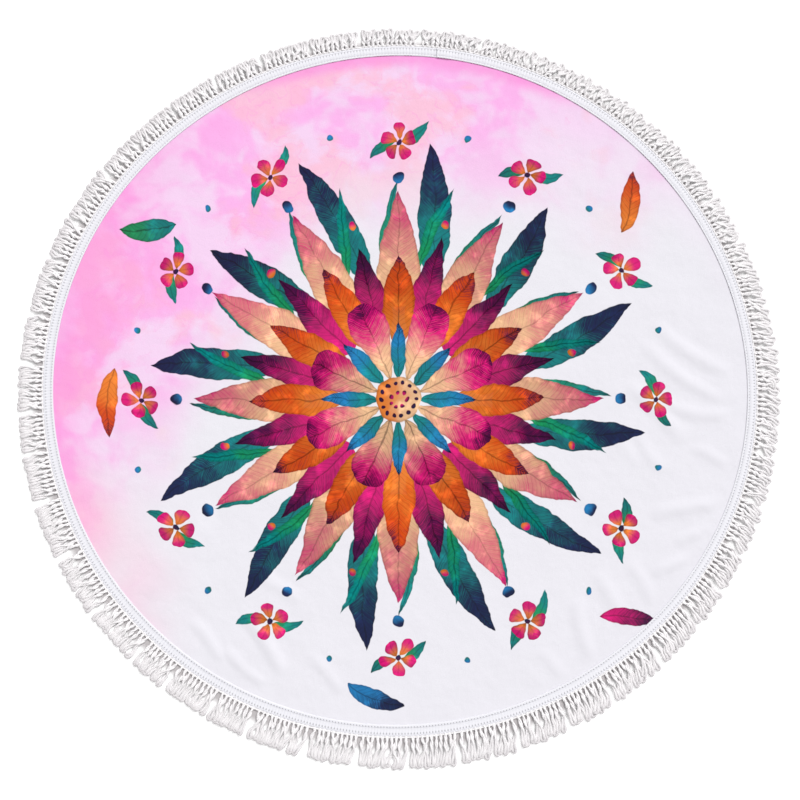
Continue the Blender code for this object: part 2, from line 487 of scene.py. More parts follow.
    def texture(self, place: Socket, grain: Grain) -> bpy.types.Node:
        """Adds soft noise.

        Args:
            place: the place that it is read at.
            grain: how fine and how rough it is.

        Returns:
            The node, which gives a value or a colour.
        """
        node = self.add("ShaderNodeTexNoise")
        self.feed(node.inputs["Vector"], place)
        node.inputs["Scale"].default_value = grain.scale
        node.inputs["Detail"].default_value = grain.layers
        node.inputs["Roughness"].default_value = grain.rough
        return node

    def noise(self, place: Socket, grain: Grain) -> Socket:
        """Soft noise with a mean of about a half."""
        return self.texture(place, grain).outputs["Fac"]

    def bump(self, height: Socket, distance: float, under: Socket | None = None) -> Socket:
        """Turns a height into a bent normal.

        Args:
            height: the height, mostly from 0 to 1.
            distance: how far 1 stands up, in metres.
            under: the normal that it is laid over, or None.

        Returns:
            The normal.
        """
        node = self.add("ShaderNodeBump")
        node.inputs["Strength"].default_value = 1.0
        node.inputs["Distance"].default_value = distance
        self.feed(node.inputs["Height"], height)
        if under is not None:
            self.feed(node.inputs["Normal"], under)
        return node.outputs["Normal"]

    def dress(self, paint: Socket, roughness: float, gloss: float, normal: Socket | None) -> None:
        """Sets the shader.

        Args:
            paint: the surface's colour.
            roughness: its roughness.
            gloss: how much it shines.
            normal: its bent normal, or None.
        """
        self.feed(self.shader.inputs["Base Color"], paint)
        self.shader.inputs["Roughness"].default_value = roughness
        self.shader.inputs["Specular IOR Level"].default_value = gloss
        if normal is not None:
            self.feed(self.shader.inputs["Normal"], normal)


def colour(red: float, green: float, blue: float) -> Paint:
    """A colour named by its display values from 0 to 1.

    Args:
        red: the red value.
        green: the green value.
        blue: the blue value.

    Returns:
        The colour as the shader takes it.
    """
    linear = [c / LOW_SLOPE if c <= KNEE else ((c + OFFSET) / (1.0 + OFFSET)) ** CURVE
              for c in (red, green, blue)]
    return (*linear, 1.0)


# ---------------------------------------------------------------------------
# The print
# ---------------------------------------------------------------------------

# How much of an ink's light the cloth sends back.
INK_SHARE = 0.77

# How many places along a shape are tried to find its widest.
PEAK_SAMPLES = 401


class Shape(Enum):
    """Outlines that the painter uses: how a shape widens from its foot and closes at its tip."""

    LEAF = (0.75, 1.0, 0.90)
    PETAL = (0.80, 4.0, 0.50)
    DROP = (0.42, 1.0, 1.05)
    DOT = (0.0, 0.0, 0.0)

    @property
    def peak(self) -> float:
        """The outline's width before it is scaled to one.

        Returns:
            The greatest width.
        """
        rise, close, power = self.value
        t = np.linspace(0.0, 1.0, PEAK_SAMPLES)
        return float(np.max(t ** rise * (1.0 - t ** close) ** power))


class Ink(Enum):
    """The painter's colours, by their display values."""

    ORANGE = (0.945, 0.520, 0.190)
    RED = (0.850, 0.285, 0.070)
    MAGENTA = (0.885, 0.090, 0.480)
    PLUM = (0.280, 0.045, 0.250)
    NAVY = (0.070, 0.120, 0.290)
    BLUE = (0.120, 0.510, 0.760)
    TEAL = (0.030, 0.520, 0.520)
    GREEN = (0.120, 0.600, 0.370)
    PEACH = (0.965, 0.770, 0.590)
    ROSE = (0.860, 0.440, 0.490)

    @property
    def paint(self) -> Paint:
        """The ink on cloth, as the shader takes it."""
        return tuple(INK_SHARE * c for c in colour(*self.value)[:3]) + (1.0,)


@dataclass(frozen=True)
class Brush:
    """How the painter's shapes vary. Luck is a shape's own chance number, from 0 to 1."""

    sector_mark: float = 5.3
    motif_mark: float = 17.31
    size_least: float = 0.90
    size_luck: float = 0.16
    tone_least: float = 0.74
    tone_luck: float = 0.32
    edge_band: Span = (0.0065, 0.0010)
    edge_dark: float = 0.26
    bloom_flow: float = 0.9
    flow_back: float = 0.45
    base_to_tip: Span = (0.15, 0.80)
    accent_from: Span = (0.78, 1.02)
    vein_slant: float = 0.9
    streak_pitch: float = 0.0085
    streak_flow: float = 0.75
    streak_tone: float = 0.30
    vein_pitch: float = 0.0105
    vein_band: Span = (0.70, 0.98)
    vein_share: float = 0.45
    rib_band: Span = (0.0022, 0.0006)
    pool_tone: float = 0.50
    cover_band: Span = (0.0, 0.0018)
    cover_share: float = 0.985


@dataclass(frozen=True)
class PaintPlace:
    """Where the painter works: a place on the cloth, straight and round, its blooms and pools."""

    x: Socket
    y: Socket
    reach: Socket
    bearing: Socket
    bloom: Socket
    pool: Socket


@dataclass(frozen=True)
class Stroke:
    """A place on a painted shape: along and across it, the shape's own number, and its luck."""

    along: Socket
    across: Socket
    mark: Socket
    luck: Socket


@dataclass(frozen=True)
class Motif:
    """A ring of like painted shapes, or a lone one, about a centre.

    The whole can be repeated in sectors round the towel's middle.
    """

    shape: Shape
    count: int
    turn_deg: float
    start: float
    length: float
    half_width: float
    base: Ink
    tip: Ink
    accent: Ink | None = None
    bend: float = 0.0
    vein: float = 0.45
    centre: Span = (0.0, 0.0)
    repeats: int = 1
    repeat_turn_deg: float = 0.0

    @property
    def veined(self) -> bool:
        """Whether the shape has veins."""
        return bool(self.vein) and self.shape is not Shape.DOT

    def fold(self, sheet: NodeSheet, reach: Socket, bearing: Socket, count: int,
             turn_deg: float) -> tuple[Socket, Socket, Socket]:
        """Brings every sector onto the first.

        Args:
            sheet: the sheet to add nodes to.
            reach: distance from the centre.
            bearing: angle about the centre.
            count: how many sectors there are.
            turn_deg: where the middle of the first sector points.

        Returns:
            The place along and across the sector's middle line, and the sector's number.
        """
        scaled = sheet.math("MULTIPLY_ADD", bearing, count / TURN, -turn_deg * count / FULL_DEG)
        number = sheet.math("ROUND", scaled)
        angle = sheet.math("MULTIPLY", sheet.math("SUBTRACT", scaled, number), TURN / count)
        along = sheet.math("MULTIPLY", reach, sheet.math("COSINE", angle))
        across = sheet.math("MULTIPLY", reach, sheet.math("SINE", angle))
        return along, across, sheet.math("FLOORED_MODULO", number, float(count))

    def stroke(self, sheet: NodeSheet, place: PaintPlace, brush: Brush, seed: int) -> Stroke:
        """Finds where on one of the motif's shapes each place lies.

        Args:
            sheet: the sheet to add nodes to.
            place: the place on the cloth.
            brush: how the shapes vary.
            seed: the motif's own number.

        Returns:
            The place on the shape.
        """
        reach, bearing, x, y = place.reach, place.bearing, place.x, place.y
        sector: Value = 0.0
        if self.repeats > 1:
            x, y, sector = self.fold(sheet, reach, bearing, self.repeats, self.repeat_turn_deg)
        if self.centre != (0.0, 0.0):
            x = sheet.math("SUBTRACT", x, self.centre[0])
            y = sheet.math("SUBTRACT", y, self.centre[1])
            bearing = sheet.math("ARCTAN2", y, x)
            reach = sheet.length(x, y)
        if self.bend:
            bent = sheet.math("MULTIPLY_ADD", reach, -self.bend, self.bend * self.start)
            bearing = sheet.math("ADD", bearing, bent)
        along, across, number = self.fold(sheet, reach, bearing, self.count, self.turn_deg)
        own = sheet.math("ADD", number, seed * brush.motif_mark)
        mark = sheet.math("MULTIPLY_ADD", sector, brush.sector_mark, own)
        chance = sheet.add("ShaderNodeTexWhiteNoise", noise_dimensions="1D")
        sheet.feed(chance.inputs["W"], mark)
        return Stroke(along, sheet.math("ABSOLUTE", across), mark, chance.outputs["Value"])

    def outline(self, sheet: NodeSheet, stroke: Stroke, brush: Brush) -> tuple[Socket, Socket]:
        """Finds how deep inside the shape each place lies.

        Args:
            sheet: the sheet to add nodes to.
            stroke: the place on the shape.
            brush: how the shapes vary.

        Returns:
            The depth inside its outline in metres, and the share of its length, from foot to tip.
        """
        off = sheet.math("SUBTRACT", stroke.along, self.start)
        if self.shape is Shape.DOT:
            share = sheet.math("MULTIPLY_ADD", off, 0.5 / self.half_width, 0.5, clamp=True)
            return sheet.math("SUBTRACT", self.half_width, sheet.length(off, stroke.across)), share
        rise, close, power = self.shape.value
        size = sheet.math("MULTIPLY_ADD", stroke.luck, brush.size_luck * self.length,
                          brush.size_least * self.length)
        share = sheet.math("DIVIDE", off, size, clamp=True)
        shut = sheet.math("SUBTRACT", 1.0, sheet.math("POWER", share, close))
        width = sheet.math("MULTIPLY", sheet.math("POWER", share, rise), sheet.math("POWER", shut, power))
        inside = sheet.math("MULTIPLY_ADD", width, self.half_width / self.shape.peak,
                            sheet.math("MULTIPLY", stroke.across, -1.0))
        return inside, share

    def lay(self, sheet: NodeSheet, under: Socket, place: PaintPlace, brush: Brush,
            seed: int) -> Socket:
        """Paints the motif over what is there.

        Args:
            sheet: the sheet to add nodes to.
            under: the colour it is painted on.
            place: the place on the cloth.
            brush: how the shapes vary.
            seed: a number of its own, so that no two motifs are shaded alike.

        Returns:
            The colour with the motif on it.
        """
        stroke = self.stroke(sheet, place, brush, seed)
        inside, share = self.outline(sheet, stroke, brush)
        flow = sheet.math("MULTIPLY_ADD", place.bloom, brush.bloom_flow,
                          sheet.math("SUBTRACT", share, brush.flow_back))
        lucky = sheet.math("MULTIPLY_ADD", stroke.luck, brush.tone_luck, brush.tone_least)
        tone = sheet.math("MULTIPLY_ADD", sheet.step(inside, *brush.edge_band), -brush.edge_dark, lucky)
        lines = sheet.math("MULTIPLY_ADD", stroke.across, -brush.vein_slant, stroke.along)
        if self.veined:
            streak = sheet.add("ShaderNodeTexNoise", noise_dimensions="1D")
            sheet.feed(streak.inputs["W"],
                       sheet.math("MULTIPLY_ADD", lines, 1.0 / brush.streak_pitch, stroke.mark))
            streak.inputs["Detail"].default_value = 1.0
            stray = sheet.math("SUBTRACT", streak.outputs["Fac"], 0.5)
            flow = sheet.math("MULTIPLY_ADD", stray, brush.streak_flow, flow)
            tone = sheet.math("MULTIPLY_ADD", stray, brush.streak_tone, tone)
        wash = sheet.mix(sheet.step(flow, *brush.base_to_tip), self.base.paint, self.tip.paint)
        if self.accent:
            wash = sheet.mix(sheet.step(flow, *brush.accent_from), wash, self.accent.paint)
        if self.veined:
            wave = sheet.math("SINE", sheet.math("MULTIPLY", lines, TURN / brush.vein_pitch))
            vein = sheet.math("MULTIPLY", sheet.step(wave, *brush.vein_band), brush.vein_share)
            rib = sheet.math("MAXIMUM", sheet.step(stroke.across, *brush.rib_band), vein)
            tone = sheet.math("MULTIPLY_ADD", rib, -self.vein, tone)
        tone = sheet.math("MULTIPLY_ADD", place.pool, brush.pool_tone, tone)
        cover = sheet.math("MULTIPLY", sheet.step(inside, *brush.cover_band), brush.cover_share)
        return sheet.mix(cover, under, sheet.scaled(wash, tone))


ROSETTE = (
    Motif(Shape.LEAF, 12, 15.0, 0.235, 0.265, 0.033, Ink.TEAL, Ink.NAVY, bend=0.5),
    Motif(Shape.LEAF, 24, 7.5, 0.250, 0.180, 0.0125, Ink.GREEN, Ink.TEAL, bend=-0.7),
    Motif(Shape.DROP, 12, 0.0, 0.185, 0.232, 0.043, Ink.PEACH, Ink.ROSE, Ink.MAGENTA, vein=0.30),
    Motif(Shape.DOT, 12, 0.0, 0.438, 0.0, 0.0120, Ink.BLUE, Ink.NAVY),
    Motif(Shape.DROP, 12, 15.0, 0.130, 0.205, 0.034, Ink.MAGENTA, Ink.PLUM),
    Motif(Shape.LEAF, 12, 0.0, 0.105, 0.190, 0.033, Ink.ORANGE, Ink.RED, Ink.PLUM),
    Motif(Shape.DOT, 12, 15.0, 0.355, 0.0, 0.0085, Ink.ORANGE, Ink.MAGENTA),
    Motif(Shape.PETAL, 8, 22.5, 0.040, 0.155, 0.039, Ink.PEACH, Ink.MAGENTA, Ink.PLUM),
    Motif(Shape.LEAF, 8, 0.0, 0.040, 0.110, 0.0165, Ink.TEAL, Ink.BLUE, Ink.NAVY),
    Motif(Shape.DOT, 1, 0.0, 0.0, 0.0, 0.046, Ink.ORANGE, Ink.PEACH),
    Motif(Shape.DOT, 14, 0.0, 0.034, 0.0, 0.0052, Ink.PLUM, Ink.NAVY),
    Motif(Shape.DOT, 7, 0.0, 0.016, 0.0, 0.0050, Ink.MAGENTA, Ink.PLUM),
)
BORDER = (
    Motif(Shape.LEAF, 2, 90.0, 0.006, 0.062, 0.0120, Ink.GREEN, Ink.TEAL, bend=9.0,
          centre=(0.510, 0.0), repeats=12, vein=0.3),
    Motif(Shape.PETAL, 5, 0.0, 0.004, 0.034, 0.0140, Ink.ORANGE, Ink.MAGENTA,
          centre=(0.508, 0.0), repeats=12, vein=0.2),
    Motif(Shape.DOT, 1, 0.0, 0.0, 0.0, 0.0062, Ink.NAVY, Ink.PLUM, centre=(0.508, 0.0), repeats=12),
    Motif(Shape.DOT, 12, 15.0, 0.532, 0.0, 0.0075, Ink.TEAL, Ink.BLUE),
)
LOOSE = (
    Motif(Shape.LEAF, 1, 62.0, 0.0, 0.125, 0.020, Ink.ORANGE, Ink.RED, Ink.PLUM, bend=2.5,
          centre=(0.440, 0.330)),
    Motif(Shape.LEAF, 1, 200.0, 0.0, 0.120, 0.021, Ink.TEAL, Ink.GREEN, bend=-2.5,
          centre=(-0.440, 0.345)),
    Motif(Shape.LEAF, 1, 250.0, 0.0, 0.130, 0.020, Ink.ORANGE, Ink.RED, Ink.PLUM, bend=2.0,
          centre=(-0.560, 0.060)),
    Motif(Shape.LEAF, 1, 320.0, 0.0, 0.125, 0.020, Ink.BLUE, Ink.NAVY, bend=2.5,
          centre=(-0.100, -0.560)),
    Motif(Shape.LEAF, 1, 10.0, 0.0, 0.115, 0.019, Ink.MAGENTA, Ink.PLUM, bend=-2.5,
          centre=(0.400, -0.430)),
)


@dataclass(frozen=True)
class Wash:
    """The watercolour under the painting: pink at the upper left, fading to white."""

    white: Paint = colour(0.850, 0.843, 0.868)
    pale: Paint = colour(0.885, 0.762, 0.872)
    pink: Paint = colour(0.904, 0.655, 0.850)
    hot: Paint = colour(0.906, 0.548, 0.795)
    peach: Paint = colour(0.906, 0.690, 0.765)

    # Patches: the place is carried by a slow swirl, and fine grain frays their edges.
    swirl: Grain = Grain(4.5, 4.0)
    carry: Triple = (0.14, 0.14, 0.0)
    fine: Grain = Grain(24.0, 4.0, 0.65)
    patches: Grain = Grain(6.0, 3.0, 0.55)
    patch_fray: float = 0.24
    blushes: Grain = Grain(5.0, 3.0, 0.55)
    blush_shift: Triple = (3.7, 1.9, 0.0)
    blush_fray: float = 0.25
    pink_band: Span = (0.42, 0.62)

    # Peach blushes, and peach all over at the lower end.
    peach_band: Span = (0.50, 0.62)
    peach_toward: Triple = (-0.50, -0.90, 0.0)
    peach_side: Span = (0.36, 0.54)
    peach_share: float = 0.75

    # Hot pink at the left rim, in tide lines round the patches, and pooled at the upper edge.
    hot_toward: Triple = (-1.0, 0.30, 0.0)
    hot_fray: float = 0.30
    hot_band: Span = (0.50, 0.72)
    hot_share: float = 0.70
    tides: float = 9.0
    tide_band: Span = (0.10, 0.0)
    tide_blush: Span = (0.40, 0.62)
    tide_share: float = 0.30
    edge: SewnEdge = SewnEdge()
    pool_reach: Span = (0.955, 0.995)
    pool_toward: Triple = (0.04, 1.0, 0.0)
    pool_side: Span = (0.575, 0.635)
    pool_share: float = 0.75

    # Depth: how the whole wash grows towards the upper left and the rim.
    drift: Grain = Grain(2.6, 3.0, 0.55)
    drift_pull: float = 0.70
    deep_toward: Triple = (-0.61, 0.79, 0.0)
    rim_reach: float = 0.55
    rim_pull: float = 1.2
    deep_band: Span = (-0.10, 0.40)

    def clouds(self, sheet: NodeSheet, place: Socket) -> tuple[Socket, Socket]:
        """The two sets of clouds that the tints follow.

        Args:
            sheet: the sheet to add nodes to.
            place: the place on the towel.

        Returns:
            The patches and the blushes, each with a mean of about a half.
        """
        swirl = sheet.texture(place, self.swirl).outputs["Color"]
        carried = sheet.vector("MULTIPLY_ADD", swirl, self.carry, place).outputs[0]
        fine = sheet.math("SUBTRACT", sheet.noise(carried, self.fine), 0.5)
        patch = sheet.math("MULTIPLY_ADD", fine, self.patch_fray, sheet.noise(carried, self.patches))
        shifted = sheet.vector("ADD", place, self.blush_shift).outputs[0]
        blush = sheet.math("MULTIPLY_ADD", fine, self.blush_fray, sheet.noise(shifted, self.blushes))
        return patch, blush

    def depth(self, sheet: NodeSheet, place: Socket) -> Socket:
        """How strong the wash is.

        Args:
            sheet: the sheet to add nodes to.
            place: the place on the towel.

        Returns:
            Its strength, from 0 to 1.
        """
        out = sheet.vector("LENGTH", place).outputs["Value"]
        outward = sheet.math("SUBTRACT", out, self.rim_reach)
        slope = sheet.math("MULTIPLY_ADD", outward, self.rim_pull, sheet.toward(place, self.deep_toward))
        drift = sheet.math("SUBTRACT", sheet.noise(place, self.drift), 0.5)
        return sheet.step(sheet.math("MULTIPLY_ADD", drift, self.drift_pull, slope), *self.deep_band)

    def lay(self, sheet: NodeSheet, place: Socket) -> Socket:
        """Lays the wash on white cloth.

        Args:
            sheet: the sheet to add nodes to.
            place: the place on the towel.

        Returns:
            The washed cloth's colour.
        """
        patch, blush = self.clouds(sheet, place)
        tint = sheet.mix(sheet.step(patch, *self.pink_band), self.pale, self.pink)
        warm = sheet.math("MAXIMUM", sheet.step(blush, *self.peach_band),
                          sheet.side(place, self.peach_toward, self.peach_side))
        tint = sheet.mix(sheet.math("MULTIPLY", warm, self.peach_share), tint, self.peach)
        rim = sheet.math("MULTIPLY_ADD", sheet.math("SUBTRACT", patch, 0.5), self.hot_fray,
                         sheet.toward(place, self.hot_toward))
        rim = sheet.math("MULTIPLY", sheet.step(rim, *self.hot_band), self.hot_share)
        level = sheet.math("PINGPONG", sheet.math("MULTIPLY", patch, self.tides), 0.5)
        tide = sheet.math("MULTIPLY", sheet.step(level, *self.tide_band),
                          sheet.step(blush, *self.tide_blush))
        tide = sheet.math("MULTIPLY", tide, self.tide_share)
        pool = sheet.math("MULTIPLY", sheet.step(sheet.reach(place, self.edge.inner), *self.pool_reach),
                          sheet.side(place, self.pool_toward, self.pool_side))
        pool = sheet.math("MULTIPLY", pool, self.pool_share)
        for share in (rim, tide, pool):
            tint = sheet.mix(share, tint, self.hot)
        return sheet.mix(self.depth(sheet, place), self.white, tint)


# ---------------------------------------------------------------------------
# Finishes
# ---------------------------------------------------------------------------


@dataclass(frozen=True)
class ClothPrint:
    """The printed face: brushed cloth with a watercolour wash and a painted rosette."""

    wash: Wash = Wash()
    brush: Brush = Brush()
    motifs: tuple[Motif, ...] = ROSETTE + BORDER + LOOSE
    wobble: Grain = Grain(16.0, 3.0, 0.62)
    wobble_reach: Triple = (0.022, 0.022, 0.0)
    blooms: Grain = Grain(22.0, 4.0, 0.6)
    pools: Grain = Grain(34.0, 3.0, 0.55)
    pool_band: Span = (0.50, 0.72)
    pile: Grain = Grain(700.0, 2.0, 0.6)
    pile_light: float = 0.95
    pile_swing: float = 0.10
    pile_height: float = 0.0004
    ripples: Grain = Grain(13.0, 3.0, 0.5)
    ripple_height: float = 0.0035
    roughness: float = 0.9
    gloss: float = 0.05

    def place(self, sheet: NodeSheet, spot: Socket) -> PaintPlace:
        """Where the brush is, with the small wobble of a hand.

        Args:
            sheet: the sheet to add nodes to.
            spot: the place on the towel.

        Returns:
            The place that the painter works at.
        """
        wobble = sheet.texture(spot, self.wobble).outputs["Color"]
        centred = sheet.vector("SUBTRACT", wobble, (0.5, 0.5, 0.5)).outputs[0]
        x, y = sheet.split(sheet.vector("MULTIPLY_ADD", centred, self.wobble_reach, spot).outputs[0])
        pool = sheet.step(sheet.noise(spot, self.pools), *self.pool_band)
        bearing = sheet.math("ARCTAN2", y, x)
        return PaintPlace(x, y, sheet.length(x, y), bearing, sheet.noise(spot, self.blooms), pool)

    def material(self) -> bpy.types.Material:
        """The face's material.

        Returns:
            The new material.
        """
        sheet = NodeSheet.named("printed_cloth")
        spot = sheet.spot()
        face = self.wash.lay(sheet, spot)
        place = self.place(sheet, spot)
        for number, motif in enumerate(self.motifs):
            face = motif.lay(sheet, face, place, self.brush, number)
        pile = sheet.noise(spot, self.pile)
        mottle = sheet.math("MULTIPLY_ADD", pile, self.pile_swing, self.pile_light)
        ripple = sheet.bump(sheet.noise(spot, self.ripples), self.ripple_height)
        normal = sheet.bump(pile, self.pile_height, ripple)
        sheet.dress(sheet.scaled(face, mottle), self.roughness, self.gloss, normal)
        return sheet.material


@dataclass(frozen=True)
class TerryBack:
    """The underside: short white towelling loops, with painted shade between them."""

    white: Paint = colour(0.860, 0.860, 0.870)
    shade: Paint = colour(0.740, 0.740, 0.760)
    loops_per_metre: float = 620.0
    loop_band: Span = (0.15, 0.75)
    loop_height: float = -0.0010
    roughness: float = 0.95
    gloss: float = 0.1

    def material(self) -> bpy.types.Material:
        """The underside's material.

        Returns:
            The new material.
        """
        sheet = NodeSheet.named("terry_back")
        loops = sheet.add("ShaderNodeTexVoronoi", feature="F1")
        sheet.feed(loops.inputs["Vector"], sheet.spot())
        loops.inputs["Scale"].default_value = self.loops_per_metre
        depth = sheet.step(loops.outputs["Distance"], *self.loop_band)
        # Painted shade between the loops.
        face = sheet.mix(depth, self.white, self.shade)
        sheet.dress(face, self.roughness, self.gloss, sheet.bump(depth, self.loop_height))
        return sheet.material


@dataclass(frozen=True)
class PinholeRow:
    """A row of pinholes: where it runs, a hole's radius, how deep its painted shade looks, and how deep on
    the side the lamp lights.
    """

    share: float
    radius: float
    deep: float
    filled: float


@dataclass(frozen=True)
class TapeWeave:
    """White woven tape with crosswise ribs and a row of pinholes along each edge."""

    white: Paint = colour(0.886, 0.883, 0.905)
    groove: Paint = colour(0.800, 0.798, 0.842)
    hole: Paint = colour(0.270, 0.258, 0.300)
    edge_shadow: Paint = colour(0.330, 0.250, 0.380)
    edge_shadow_pink: Paint = colour(0.560, 0.130, 0.400)
    rib_pitch: float = 0.0060
    width: float = 0.0222
    uneven: Grain = Grain(210.0, 3.0, 0.6)

    # The grooves between the ribs carry painted shade, which shows best at the left, away from the lamp.
    ladder_width: Span = (0.0011, 0.0003)
    ladder_from: Span = (0.26, 0.32)
    ladder_to: Span = (0.74, 0.68)
    ladder_patches: Span = (1.2, -0.15)
    ladder_toward: Triple = (-1.0, 0.35, 0.0)
    ladder_side: Span = (-0.45, 0.30)
    ladder_least: float = 0.45

    # The pinholes carry painted shade, lighter at the upper right, on the side the lamp lights.
    rows: tuple[PinholeRow, ...] = (
        PinholeRow(INNER_SEAM, 0.00100, 0.58, 0.30),
        PinholeRow(OUTER_SEAM, 0.00122, 0.45, 0.40),
    )
    hole_band: Span = (1.35, 0.55)
    lit_side_toward: Triple = (0.40, 1.35, 0.0)
    lit_side_span: Span = (-0.15, 1.0)

    # A dashed painted shadow along the tape's inner edge, at the upper right where the edge faces away from
    # the lamp, tinted pink at the top.
    edge_shadow_band: Span = (0.078, 0.050)
    edge_shadow_dash: Span = (0.08, 0.30)
    edge_shadow_gaps: Grain = Grain(48.0)
    edge_shadow_breaks: Span = (0.42, 0.56)
    edge_shadow_toward: Triple = (0.62, 1.10, 0.0)
    edge_shadow_side: Span = (0.20, 0.80)
    pink_toward: Triple = (-0.10, 1.0, 0.0)
    pink_side: Span = (0.50, 0.62)

    threads_across: float = 26.0
    thread_relief: float = 0.25
    hole_relief: float = -2.0
    relief: float = 0.0003
    roughness: float = 0.85
    gloss: float = 0.2

    def ladder(self, sheet: NodeSheet, spot: Socket, across: Socket, off: Socket,
               uneven: Socket) -> Socket:
        """Painted shade in the grooves between the ribs.

        Args:
            sheet: the sheet to add nodes to.
            spot: the place on the towel.
            across: the share of the way across the tape.
            off: how far the nearest groove is, in metres.
            uneven: how uneven the weave is there.

        Returns:
            How much of the painted groove shade shows.
        """
        band = sheet.math("MULTIPLY", sheet.step(across, *self.ladder_from),
                          sheet.step(across, *self.ladder_to))
        line = sheet.math("MULTIPLY", sheet.step(off, *self.ladder_width), band)
        patchy = sheet.math("MULTIPLY_ADD", uneven, *self.ladder_patches, clamp=True)
        shade_by_side = sheet.math("MULTIPLY_ADD", sheet.side(spot, self.ladder_toward, self.ladder_side),
                            1.0 - self.ladder_least, self.ladder_least)
        return sheet.math("MULTIPLY", sheet.math("MULTIPLY", line, patchy), shade_by_side)

    def pinholes(self, sheet: NodeSheet, spot: Socket, across: Socket, off: Socket) -> Socket:
        """Both rows of pinholes, as painted shade.

        Args:
            sheet: the sheet to add nodes to.
            spot: the place on the towel.
            across: the share of the way across the tape.
            off: how far the nearest groove is, in metres.

        Returns:
            How much painted shade the holes show, from 0 to 1.
        """
        # Painted shade: the holes look shallower on the side the lamp lights.
        filled = sheet.side(spot, self.lit_side_toward, self.lit_side_span)
        holes: Value = 0.0
        for row in self.rows:
            aside = sheet.math("MULTIPLY", sheet.math("SUBTRACT", across, row.share), self.width)
            wide, narrow = (row.radius * share for share in self.hole_band)
            dent = sheet.step(sheet.length(aside, off), wide, narrow)
            depth = sheet.math("MULTIPLY_ADD", filled, row.filled - row.deep, row.deep)
            holes = sheet.math("MULTIPLY_ADD", dent, depth, holes)
        return holes

    def edge_shadow_line(self, sheet: NodeSheet, spot: Socket, across: Socket, near: Socket) -> Socket:
        """The dashed painted shadow along the tape's inner edge.

        Args:
            sheet: the sheet to add nodes to.
            spot: the place on the towel.
            across: the share of the way across the tape.
            near: how far the nearest groove is, in ribs.

        Returns:
            How much of the painted shadow shows.
        """
        shown = sheet.step(sheet.noise(spot, self.edge_shadow_gaps), *self.edge_shadow_breaks)
        dash = sheet.math("MULTIPLY", sheet.step(near, *self.edge_shadow_dash), shown)
        line = sheet.math("MULTIPLY", sheet.step(across, *self.edge_shadow_band), dash)
        return sheet.math("MULTIPLY", line, sheet.side(spot, self.edge_shadow_toward, self.edge_shadow_side))

    def material(self) -> bpy.types.Material:
        """The tape's material, laid along the tape by its map.

        Returns:
            The new material.
        """
        sheet = NodeSheet.named("heading_tape")
        along, across = sheet.laid()
        spot = sheet.spot()
        near = sheet.math("PINGPONG", along, 0.5)
        off = sheet.math("MULTIPLY", near, self.rib_pitch)
        uneven = sheet.noise(spot, self.uneven)
        holes = self.pinholes(sheet, spot, across, off)
        # Painted shade in the grooves between the ribs.
        face = sheet.mix(self.ladder(sheet, spot, across, off, uneven), self.white, self.groove)
        # Painted shadow: a dashed dark line along the tape's inner edge, tinted pink at the top.
        pink = sheet.side(spot, self.pink_toward, self.pink_side)
        edge_shadow_paint = sheet.mix(pink, self.edge_shadow, self.edge_shadow_pink)
        face = sheet.mix(self.edge_shadow_line(sheet, spot, across, near), face, edge_shadow_paint)
        weave = sheet.math("SINE", sheet.math("MULTIPLY", across, TURN * self.threads_across))
        rough = sheet.math("MULTIPLY_ADD", holes, self.hole_relief, uneven)
        relief = sheet.math("MULTIPLY_ADD", weave, self.thread_relief, rough)
        # Painted shade in the pinholes.
        sheet.dress(sheet.mix(holes, face, self.hole), self.roughness, self.gloss,
                    sheet.bump(relief, self.relief))
        return sheet.material


@dataclass(frozen=True)
class SewingThread:
    """Fine white thread, twisted, with painted shade in the twist's grooves."""

    white: Paint = colour(0.900, 0.900, 0.920)
    shade: Paint = colour(0.760, 0.760, 0.800)
    twist_length: float = 0.0011
    twist_band: Span = (-0.9, 0.3)
    twist_height: float = 0.00010
    roughness: float = 0.6
    gloss: float = 0.5

    def material(self) -> bpy.types.Material:
        """The thread's material.

        Returns:
            The new material.
        """
        sheet = NodeSheet.named("sewing_thread")
        along, around = sheet.laid()
        turn = sheet.math("MULTIPLY_ADD", along, 1.0 / self.twist_length, around)
        twist = sheet.step(sheet.math("SINE", sheet.math("MULTIPLY", turn, TURN)), *self.twist_band)
        # Painted shade in the twist's grooves.
        face = sheet.mix(twist, self.shade, self.white)
        sheet.dress(face, self.roughness, self.gloss, sheet.bump(twist, self.twist_height))
        return sheet.material


